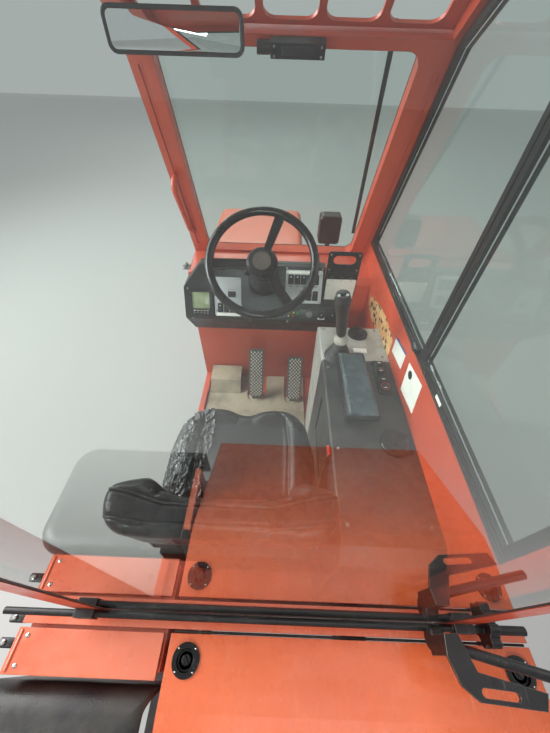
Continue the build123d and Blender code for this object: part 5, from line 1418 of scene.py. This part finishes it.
@dataclass
class PedalBox:
    """Brake and accelerator with their raised tread, the mat and the front wall."""

    width: float = 0.072
    pedals: tuple[tuple[float, float, float, float, float], ...] = (
        (-0.093, 0.534, 0.322, 0.650, 0.540), (0.094, 0.526, 0.320, 0.640, 0.505))
    top: float = 0.008
    floor_z: float = 0.300
    lozenge: tuple[float, float] = (0.0036, 0.0068)
    spacing: tuple[float, float] = (0.0160, 0.0088)
    lean: float = 28.0

    def build(self) -> None:
        """Dresses the pedals and mat and adds the tread and the worn spots below the pedals."""
        dress(TREAD, "pedals")
        dress(MAT, "floor_mat")
        shape = Shape("pedal_tread", LUGS)
        soil = Shape("pedal_wells", MAT)
        for x, foot_y, foot_z, head_y, head_z in self.pedals:
            rise = Vector((0, head_y - foot_y, head_z - foot_z))
            self.tread(shape, facing((x, foot_y, foot_z), (1, 0, 0), rise), rise.length)
            soil.plate(at(x, foot_y - 0.006, self.floor_z), rounded(0.096, 0.060, 0.004), -0.0005, 0.0025, 0, 0.0004)
        shape.done("cab")
        soil.done("cab")

    def tread(self, shape: Shape, place: Matrix, length: float) -> None:
        """Adds rows of raised lozenges to one pedal.

        Args:
            shape: The mesh that they go into.
            place: Frame of the pedal's face.
            length: Length of the face.
        """
        wide, long = self.lozenge
        pitch, pace = self.spacing
        corners = ((wide, 0), (0, long), (-wide, 0), (0, -long))
        rows = math.ceil((length - 0.008 - 0.012) / pace)
        for row in range(rows):
            odd = row % 2
            for i in range(-2, 3):
                x = i * pitch + odd * pitch / 2
                if abs(x) < self.width / 2 - 0.0045:
                    spot = place @ at(x, 0.012 + row * pace, self.top) @ spun(self.lean if odd else -self.lean)
                    shape.rings([[spot @ Vector((a * k, b * k, z)) for a, b in corners]
                                 for k, z in ((1.0, -0.0006), (1.0, 0.0006), (0.6, 0.0016))])


@dataclass
class SideConsole:
    """Console with its stick, cup, vent, catch and the labels on the wall beside it."""

    top: float = 0.8403
    wall_x: float = 0.370
    stick_foot: tuple[float, float, float] = (0.204, 0.318, 0.9026)
    stick_lean: float = -8.0
    stick_length: float = 0.1775

    def build(self) -> None:
        """Dresses the console and makes its small parts."""
        dress(CONSOLE, "side_console")
        dress(BOOT, "joystick_boot")
        dress(STICK, "joystick")
        dress(RIM, "air_vent")
        self.stick()
        self.labels()
        self.patch()
        self.fittings()

    def stick(self) -> None:
        """Makes the pale collar, the thumb buttons and the seam of the stick."""
        lean = at(*self.stick_foot) @ spun(self.stick_lean, "Y")
        top = lean @ at(0, 0, self.stick_length)
        shape = Shape("stick_parts", COLLAR, DASH, PANEL)
        collar = ((0.0150, 0.0012), (0.0225, 0.0022), (0.0225, 0.0100), (0.0195, 0.0165), (0.0150, 0.0210),
                  (0.0120, 0.0230))
        shape.turned(lean, collar, 0, 32)
        shape.turned(top @ at(0, 0.002), ((0.0105, -0.003), (0.0105, 0.0018), (0.0080, 0.0034), (0.004, 0.0036)), 1, 24)
        buttons = ((-0.0115, -0.009, -0.001), (0.0115, -0.009, -0.001))
        shape.studs(top, buttons, ((0.0040, -0.002), (0.0040, 0.0022), (0.0028, 0.0032)), 2, 16)
        shape.tube(oval(lean, 0.0168, 0.0180, 0.062, 36), 0.0011, 1, 6, closed=True)
        shape.done("cab")

    def sheet(self, shape: Shape, corners: Sequence[Point], slot: int = 0, thick: float = 0.0008) -> None:
        """Adds a thin sheet stuck to the right wall.

        Args:
            shape: The mesh that it goes into.
            corners: Corners as (y, z) in metres, anticlockwise as the wall's outside shows them.
            slot: Number of the finish.
            thick: Its thickness.
        """
        place = facing((self.wall_x, 0, 0), (0, 1, 0), (0, 0, 1))
        shape.rings([[place @ Vector((a, b, z)) for a, b in corners] for z in (0.0, -thick)], slot)

    def labels(self) -> None:
        """Makes the two blank labels on the wall."""
        shape = Shape("wall_labels", WHITE, BLUE, DISPLAY)
        self.sheet(shape, ((0.313, 0.931), (0.222, 0.946), (0.216, 0.893), (0.307, 0.880)))
        self.sheet(shape, ((0.312, 0.9355), (0.221, 0.9505), (0.2225, 0.9440), (0.3125, 0.9290)), 1, 0.0011)
        self.sheet(shape, ((0.188, 0.950), (0.092, 0.966), (0.072, 0.874), (0.170, 0.858)))
        disc = facing((self.wall_x, 0.158, 0.932), (0, 1, 0), (0, 0, 1)) @ spun(180, "Y")
        shape.turned(disc, ((0.0125, 0.0006), (0.0125, 0.0013), (0.0115, 0.0014)), 2, 26)
        shape.done("cab")

    def patch(self) -> None:
        """Makes the old piece of dotted lining on the wall."""
        shape = Shape("wall_lining", LINING)
        upper = ((0.640, 0.868), (0.575, 0.884), (0.500, 0.905), (0.430, 0.914), (0.380, 0.909), (0.330, 0.906))
        lower = ((0.314, 0.832), (0.366, 0.812), (0.470, 0.812), (0.560, 0.812), (0.640, 0.818))
        self.sheet(shape, upper + lower, 0, 0.0016)
        shape.done("cab")

    def fittings(self) -> None:
        """Makes the cup's rim, the vent's rings, the blank label and the screws of the console."""
        shape = Shape("console_fittings", RIM, PANEL, STEEL, WHITE)
        cup = ((0.0345, -0.0005), (0.0345, 0.0052), (0.0325, 0.0062), (0.0290, 0.0062), (0.0275, 0.0046))
        ring = ((0.0388, 0.0), (0.0388, 0.0070), (0.0370, 0.0088), (0.0330, 0.0088), (0.0318, 0.0072))
        hub = ((0.0095, 0.004), (0.0095, 0.0094), (0.0075, 0.0104), (0.003, 0.0106))
        shape.turned(at(0.286, 0.430, self.top), cup, 0, 40)
        shape.turned(at(0.318, -0.001, self.top), ring, 0, 44)
        shape.turned(at(0.318, -0.001, self.top), hub, 0, 22)
        shape.plate(at(0.283, 0.345, self.top), rounded(0.044, 0.020, 0.002), 0.0, 0.0012, 3, 0.0003)
        screws = ((0.168, 0.452), (0.350, 0.452), (0.168, 0.262), (0.352, 0.318), (0.170, -0.02), (0.170, -0.20),
                  (0.352, -0.20))
        shape.studs(at(0, 0, self.top), screws, ((0.0046, 0.0), (0.0046, 0.0014), (0.0030, 0.0026)), 2, 16)
        shape.done("cab")


@dataclass
class CardPlate:
    """Black plate with an oblong hole that carries ring-bound blank cards."""

    face_y: float = 0.660
    card_x: float = 0.242
    card_z: float = 0.874
    card: tuple[float, float, float] = (0.112, 0.094, 0.003)

    def build(self) -> None:
        """Makes the cards, their rings and the blank labels."""
        dress(TRIM, "card_holder")
        place = facing((0, self.face_y, 0), (1, 0, 0), (0, 0, 1))
        cards = Shape("blank_cards", WHITE, STEEL)
        for i, (shift, turn) in enumerate(((0.0, 0.6), (0.0012, -0.9), (-0.0008, 0.2))):
            spot = place @ at(self.card_x + shift, self.card_z, 0.0052 + i * 0.0011) @ spun(turn)
            cards.plate(spot, rounded(*self.card), 0.0, 0.0009, 0, 0.0002)
        for x in (-0.036, 0.0, 0.036):
            hole = facing(place @ Vector((self.card_x + x, 0.9235, 0.0030)), (0, 0, 1), (0, 1, 0))
            cards.tube(oval(hole, 0.0100, 0.00736, 0.0, 30), 0.0011, 1, 7, closed=True)
        cards.done("cab")
        labels = Shape("plate_labels", WHITE, STEEL)
        for x, width in ((0.2205, 0.050), (0.2865, 0.022)):
            labels.plate(place, rounded(width, 0.019, 0.001, (x, 0.8425)), 0.0, 0.0007, 0, 0.0002)
        corners = [(x, z) for x in (0.190, 0.294) for z in (1.018, 0.958)]
        labels.studs(place, corners, ((0.0044, 0.0), (0.0044, 0.0016), (0.0028, 0.0030)), 1, 6)
        labels.done("cab")


@dataclass
class MirrorAndWiper:
    """Inside mirror, wiper, wiper motor and the lamp at the foot of the screen."""

    mirror: tuple[float, float, float] = (-0.212, 0.450, 1.558)
    lamp: tuple[float, float, float] = (0.212, 0.983, 0.991)
    screen_foot: tuple[float, float, float] = (0.025, 0.914, 0.920)
    screen_run: float = 0.308
    screen_rise: float = 0.658
    motor_out: float = 0.0693

    def build(self) -> None:
        """Dresses the fittings and makes the mirror glass and lamp glass."""
        dress(TRIM, "mirror_arm", "inside_mirror", "wiper", "wiper_motor", "corner_lamp")
        glass = Shape("mirror_glass", SILVER)
        place = facing(self.mirror, (1, 0, 0), (0, 0, 1))
        glass.plate(place, rounded(0.2490, 0.0530, 0.0105, steps=6), 0.0118, 0.0131, 0, 0.0006)
        glass.done("mirror")
        lamp = Shape("lamp_glass", LENS, TRIM)
        front = facing(self.lamp, (-1, 0, 0), (0, 0, 1))
        lamp.plate(front, rounded(0.071, 0.096, 0.004), -0.003, 0.0015, 0, 0.0016)
        for i in range(6):
            lamp.plate(front, rounded(0.0016, 0.088, 0.0006, ((i - 2.5) * 0.0115, 0)), 0.001, 0.0024, 0, 0.0004)
        lamp.done("cab")
        self.motor()

    def motor(self) -> None:
        """Makes the plate and the screws of the wiper motor at the top of the raked screen."""
        shape = Shape("motor_details", STEEL, TRIM)
        length = math.hypot(self.screen_run, self.screen_rise)
        back, rise = self.screen_run / length, self.screen_rise / length
        up, inwards = Vector((0, -back, rise)), Vector((0, -rise, -back))
        face = facing(Vector(self.screen_foot) + up * (length - 0.012) + inwards * self.motor_out, (1, 0, 0), up)
        spots = [(x, y) for x in (-0.052, 0.052) for y in (-0.013, 0.004)]
        shape.studs(face, spots, ((0.0028, -0.001), (0.0028, 0.0009), (0.0018, 0.0016)), 0, 12)
        shape.plate(face, rounded(0.070, 0.017, 0.002, (0.0, -0.004)), -0.001, 0.0009, 1, 0.0004)
        shape.done("cab")


@dataclass
class RearDeck:
    """Hood with its latches, the strip before it, the flap and the fender."""

    top: float = 0.745
    latches: tuple[tuple[float, float], ...] = ((-0.147, -0.426), (0.483, -0.426))
    flap: tuple[float, float, float, float] = (-0.484, -0.198, -0.455, -0.388)
    seam_y: float = -0.3850

    def build(self) -> None:
        """Dresses the deck and makes its screws, rivets, hinge ends and seal."""
        dress(ORANGE_TOP, "rear_deck", "left_flap")
        dress(HOOD_PAINT, "rear_hood")
        dress(LATCH, "hood_latches")
        dress(FENDER, "rear_fender")
        self.latch_parts()
        self.flap_parts()
        self.strip_parts()

    def latch_parts(self) -> None:
        """Makes the inner rings, the paddle and the bright screws of the latches."""
        shape = Shape("latch_parts", LATCH, BRIGHT)
        ring = ((0.0175, -0.008), (0.0175, -0.0035), (0.0160, -0.0022), (0.0135, -0.0022), (0.0125, -0.0040),
                (0.0125, -0.008))
        knob = ((0.0092, -0.008), (0.0092, -0.0030), (0.0078, -0.0018), (0.0050, -0.0018), (0.0042, -0.0032))
        screw = ((0.0017, -0.0004), (0.0016, 0.0006), (0.0008, 0.0011))
        for x, y in self.latches:
            spot = at(x, y, self.top)
            shape.turned(spot, ring, 0, 36)
            shape.turned(spot, knob, 0, 28)
            shape.plate(spot @ spun(38), rounded(0.0050, 0.0170, 0.0022), -0.006, -0.0002, 0, 0.0012)
            shape.studs(spot, oval(spun(45), 0.0232, 0.0232, 0.0026, 4), screw, 1, 12)
        shape.done("hood")

    def flap_parts(self) -> None:
        """Makes the rivets and the folded bead of the flap."""
        left, _, rear, front = self.flap
        shape = Shape("flap_parts", ORANGE_TOP, BRIGHT)
        bead = rounded(0.0055, front - rear - 0.006, 0.002)
        shape.plate(at(left + 0.0075, (front + rear) / 2, self.top), bead, -0.001, 0.0022, 0, 0.0014)
        spots = ((left + 0.022, front - 0.012, self.top), (left + 0.022, rear + 0.012, self.top))
        shape.studs(Matrix.Identity(4), spots, ((0.0040, 0.0), (0.0036, 0.0011), (0.0018, 0.0019)), 1, 18)
        shape.done("flap")

    def strip_parts(self) -> None:
        """Makes the seal under the edge of the hood and the hinge ends on the left."""
        shape = Shape("deck_parts", RUBBER, SCUFFED, BRIGHT)
        seal = [Vector((x, self.seam_y, self.top - 0.0065)) for x in (-0.180, 0.0, 0.18, 0.36, 0.515)]
        shape.tube(seal, 0.0022, 0, 8)
        for y in (-0.374, -0.412):
            shape.plate(at(-0.500, y, self.top), rounded(0.034, 0.016, 0.004), -0.016, -0.006, 1, 0.002)
            bolt = ((0.0052, 0.0), (0.0052, 0.0026), (0.0034, 0.0040))
            shape.turned(at(-0.507, y, self.top - 0.006), bolt, 2, 6)
        shape.done("cab")


@dataclass
class CabShell:
    """Painted shell of the cab with its frame, its windows and the bar behind it."""

    rear_y: float = -0.3
    right_x: float = 0.39

    def build(self) -> None:
        """Dresses the shell, the frame, the window frame and the glass, and adds the catch and its label."""
        dress(CHASSIS, "subframe")
        dress(RUBBER, "isolators", "window_seals")
        dress(COVER_PAINT, "front_cover")
        dress(ORANGE, "cab_floor", "front_wall", "front_frame", "right_wall", "rear_frame", "roof_frame", "roof_grille",
              "grab_handle", "roof_panel")
        dress(TRIM, "side_window_frame")
        dress(GLASS, "window_glass")
        dress(SCUFFED, "rear_bar")
        self.rear_pane()
        shape = Shape("track_parts", DASH, WHITE)
        self.fixed(shape, (0.3610, 0.187, 1.006), rounded(0.020, 0.010, 0.002), (-0.001, 0.004), 0, 0.001)
        self.fixed(shape, (0.3718, 0.020, 1.0008), rounded(0.030, 0.010, 0.001), (-0.0006, 0.0004), 1, 0.0001)
        shape.done("cab")

    def rear_pane(self) -> None:
        """Gives the rear pane its own glass, which mirrors the hood more strongly."""
        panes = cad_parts["window_glass"]
        panes.data.materials.append(REAR_GLASS.material())
        for face in panes.data.polygons:
            x, y, _ = panes.matrix_world @ face.center
            face.material_index = int(y < self.rear_y and x < self.right_x)

    @staticmethod
    def fixed(shape: Shape, spot: Point, outline: Outline, heights: tuple[float, float], slot: int,
              edge: float) -> None:
        """Adds a plate that faces into the cab from the right wall.

        Args:
            shape: The mesh that it goes into.
            spot: Its middle.
            outline: Its outline.
            heights: Heights of its back and front.
            slot: Number of the finish.
            edge: Size of its softened edge.
        """
        place = facing(spot, (0, 1, 0), (0, 0, 1)) @ spun(180, "Y")
        shape.plate(place, outline, *heights, slot, edge)


@dataclass
class ViewCamera:
    """The camera where the photograph was taken, behind the rear window."""

    place: tuple[float, float, float] = (0.0038, -0.4147, 1.5534)
    focal_px: float = 308.0
    down: float = 46.83
    right: float = -0.4
    roll: float = 1.83
    height_px: int = 733
    sensor_mm: float = 36.0

    def build(self) -> None:
        """Makes the camera and takes the view from it."""
        down, right, roll = (math.radians(v) for v in (self.down, self.right, self.roll))
        ahead = Vector((math.sin(right) * math.cos(down), math.cos(right) * math.cos(down), -math.sin(down)))
        level = Vector((math.cos(right), -math.sin(right), 0.0))
        above = level.cross(ahead)
        side = level * math.cos(roll) + above * math.sin(roll)
        up = above * math.cos(roll) - level * math.sin(roll)
        data = bpy.data.cameras.new("view_camera")
        data.sensor_width = self.sensor_mm
        data.lens = self.sensor_mm * self.focal_px / self.height_px
        data.clip_start = 0.01
        camera = bpy.data.objects.new("view_camera", data)
        camera.matrix_world = framed(side, up, -ahead, self.place)
        bpy.context.scene.collection.objects.link(camera)
        bpy.context.scene.camera = camera


@dataclass(frozen=True)
class Lamp:
    """One soft lamp: where it hangs, what it points at, its face, its power, and its beam in degrees.

    Where glints is False, shiny surfaces do not show it.
    """

    name: str
    place: Point
    aim: Point
    size: tuple[float, float]
    watts: float
    spread: float = 180.0
    glints: bool = True

    def hang(self) -> None:
        """Hangs the lamp."""
        data = bpy.data.lights.new(self.name, "AREA")
        data.shape = "RECTANGLE"
        data.size, data.size_y = self.size
        data.energy = self.watts
        data.spread = math.radians(self.spread)
        lamp = bpy.data.objects.new(self.name, data)
        lamp.location = Vector(self.place)
        lamp.visible_glossy = self.glints
        lamp.rotation_euler = (Vector(self.aim) - Vector(self.place)).to_track_quat("-Z", "Y").to_euler()
        bpy.context.scene.collection.objects.link(lamp)


LAMPS = (
    Lamp("lamp_over_deck", (0.45, -0.95, 3.0), (0.05, -0.2, 0.75), (1.9, 1.2), 0.9, spread=50.0),
    Lamp("lamp_behind", (-0.4, -3.2, 2.3), (0.0, 0.6, 0.95), (1.6, 1.0), 9.0, spread=50.0, glints=False),
    Lamp("lamp_left", (-3.4, 0.2, 2.5), (0.1, 0.2, 0.6), (2.0, 1.6), 200.0),
    Lamp("lamp_front_left", (-3.0, 2.6, 3.4), (0.0, 0.5, 0.9), (2.4, 2.4), 130.0),
    Lamp("lamp_front_far", (-1.0, 7.0, 5.0), (-0.5, 3.5, 0.0), (3.0, 3.0), 170.0),
    Lamp("lamp_right", (3.4, 0.6, 2.8), (0.0, 0.2, 0.9), (2.4, 2.4), 25.0),
)


@dataclass
class Studio:
    """The pale floor, the plain surroundings and the soft lamps."""

    floor_half: float = 14.0
    floor_drop: float = 0.0005
    floor_colour: str = "c9c9c5"
    floor_tone: str = "c4c5c4"
    floor_shown: float = 0.55
    sky: float = 0.16
    sky_light: str = "eef2f6"
    sky_tone: str = "b9bbbb"

    @staticmethod
    def seen(tree: Tree) -> Socket:
        """Gives the mask of the rays that show the pale background: camera, glossy and transmission.

        Args:
            tree: The floor's or the world's tree.

        Returns:
            1 for those rays, 0 for the rays that carry light.
        """
        path = tree.add("ShaderNodeLightPath")
        bent = tree.maths("MAXIMUM", path.outputs["Is Glossy Ray"], path.outputs["Is Transmission Ray"])
        return tree.maths("MAXIMUM", path.outputs["Is Camera Ray"], bent)

    @staticmethod
    def show(tree: Tree, out: str, mask: Socket, lit: bpy.types.Node, shown: bpy.types.Node) -> None:
        """Mixes what is seen into what is lit.

        Args:
            tree: The floor's or the world's tree.
            out: Name of its output node.
            mask: Share of what is seen.
            lit: The shader that takes and gives light.
            shown: The shader that is only seen.
        """
        both = tree.add("ShaderNodeMixShader", {0: mask, 1: lit.outputs[0], 2: shown.outputs[0]})
        tree.join(tree.tree.nodes[out], "Surface", both.outputs[0])

    def floor_paint(self) -> bpy.types.Material:
        """Makes the floor's material: plain and pale, a part of it lit, so that the shadow stays."""
        material = bpy.data.materials.new("studio_floor")
        material.use_nodes = True
        tree = Tree(material.node_tree)
        lit = material.node_tree.nodes["Principled BSDF"]
        Finish.feed(tree, lit, Base_Color=srgb(self.floor_colour), Roughness=0.9)
        shown = tree.add("ShaderNodeEmission", {"Color": srgb(self.floor_tone), "Strength": 1.0})
        self.show(tree, "Material Output", tree.times(self.seen(tree), self.floor_shown), lit, shown)
        return material

    def floor(self) -> None:
        """Lays the floor and keeps it out of the part."""
        builder = bmesh.new()
        bmesh.ops.create_grid(builder, x_segments=2, y_segments=2, size=self.floor_half)
        mesh = bpy.data.meshes.new("studio_floor")
        builder.to_mesh(mesh)
        builder.free()
        mesh.materials.append(self.floor_paint())
        ground = bpy.data.objects.new("studio_floor", mesh)
        ground.location.z = -self.floor_drop
        bpy.context.scene.collection.objects.link(ground)

    def surroundings(self) -> None:
        """Makes the world: even light, and pale where the camera, metal or glass shows it."""
        world = bpy.data.worlds.new("studio")
        bpy.context.scene.world = world
        world.use_nodes = True
        tree = Tree(world.node_tree)
        lit = world.node_tree.nodes["Background"]
        Finish.feed(tree, lit, Color=srgb(self.sky_light), Strength=self.sky)
        shown = tree.add("ShaderNodeBackground", {"Color": srgb(self.sky_tone), "Strength": 1.0})
        self.show(tree, "World Output", self.seen(tree), lit, shown)

    def build(self) -> None:
        """Makes the whole studio."""
        self.floor()
        self.surroundings()
        for lamp in LAMPS:
            lamp.hang()
        bpy.context.scene.view_settings.view_transform = "Standard"


def main() -> None:
    """Builds the whole scene in order."""
    logging.basicConfig(level=logging.INFO, format="%(name)s: %(message)s")
    for part in (ViewCamera(), Studio(), CabShell(), Dashboard(), Steering(), PedalBox(), SideConsole(), CardPlate(),
                 MirrorAndWiper(), RearDeck(), DriverSeat()):
        part.build()
        log.info("%s is done", type(part).__name__)


if __name__ == "__main__":
    main()
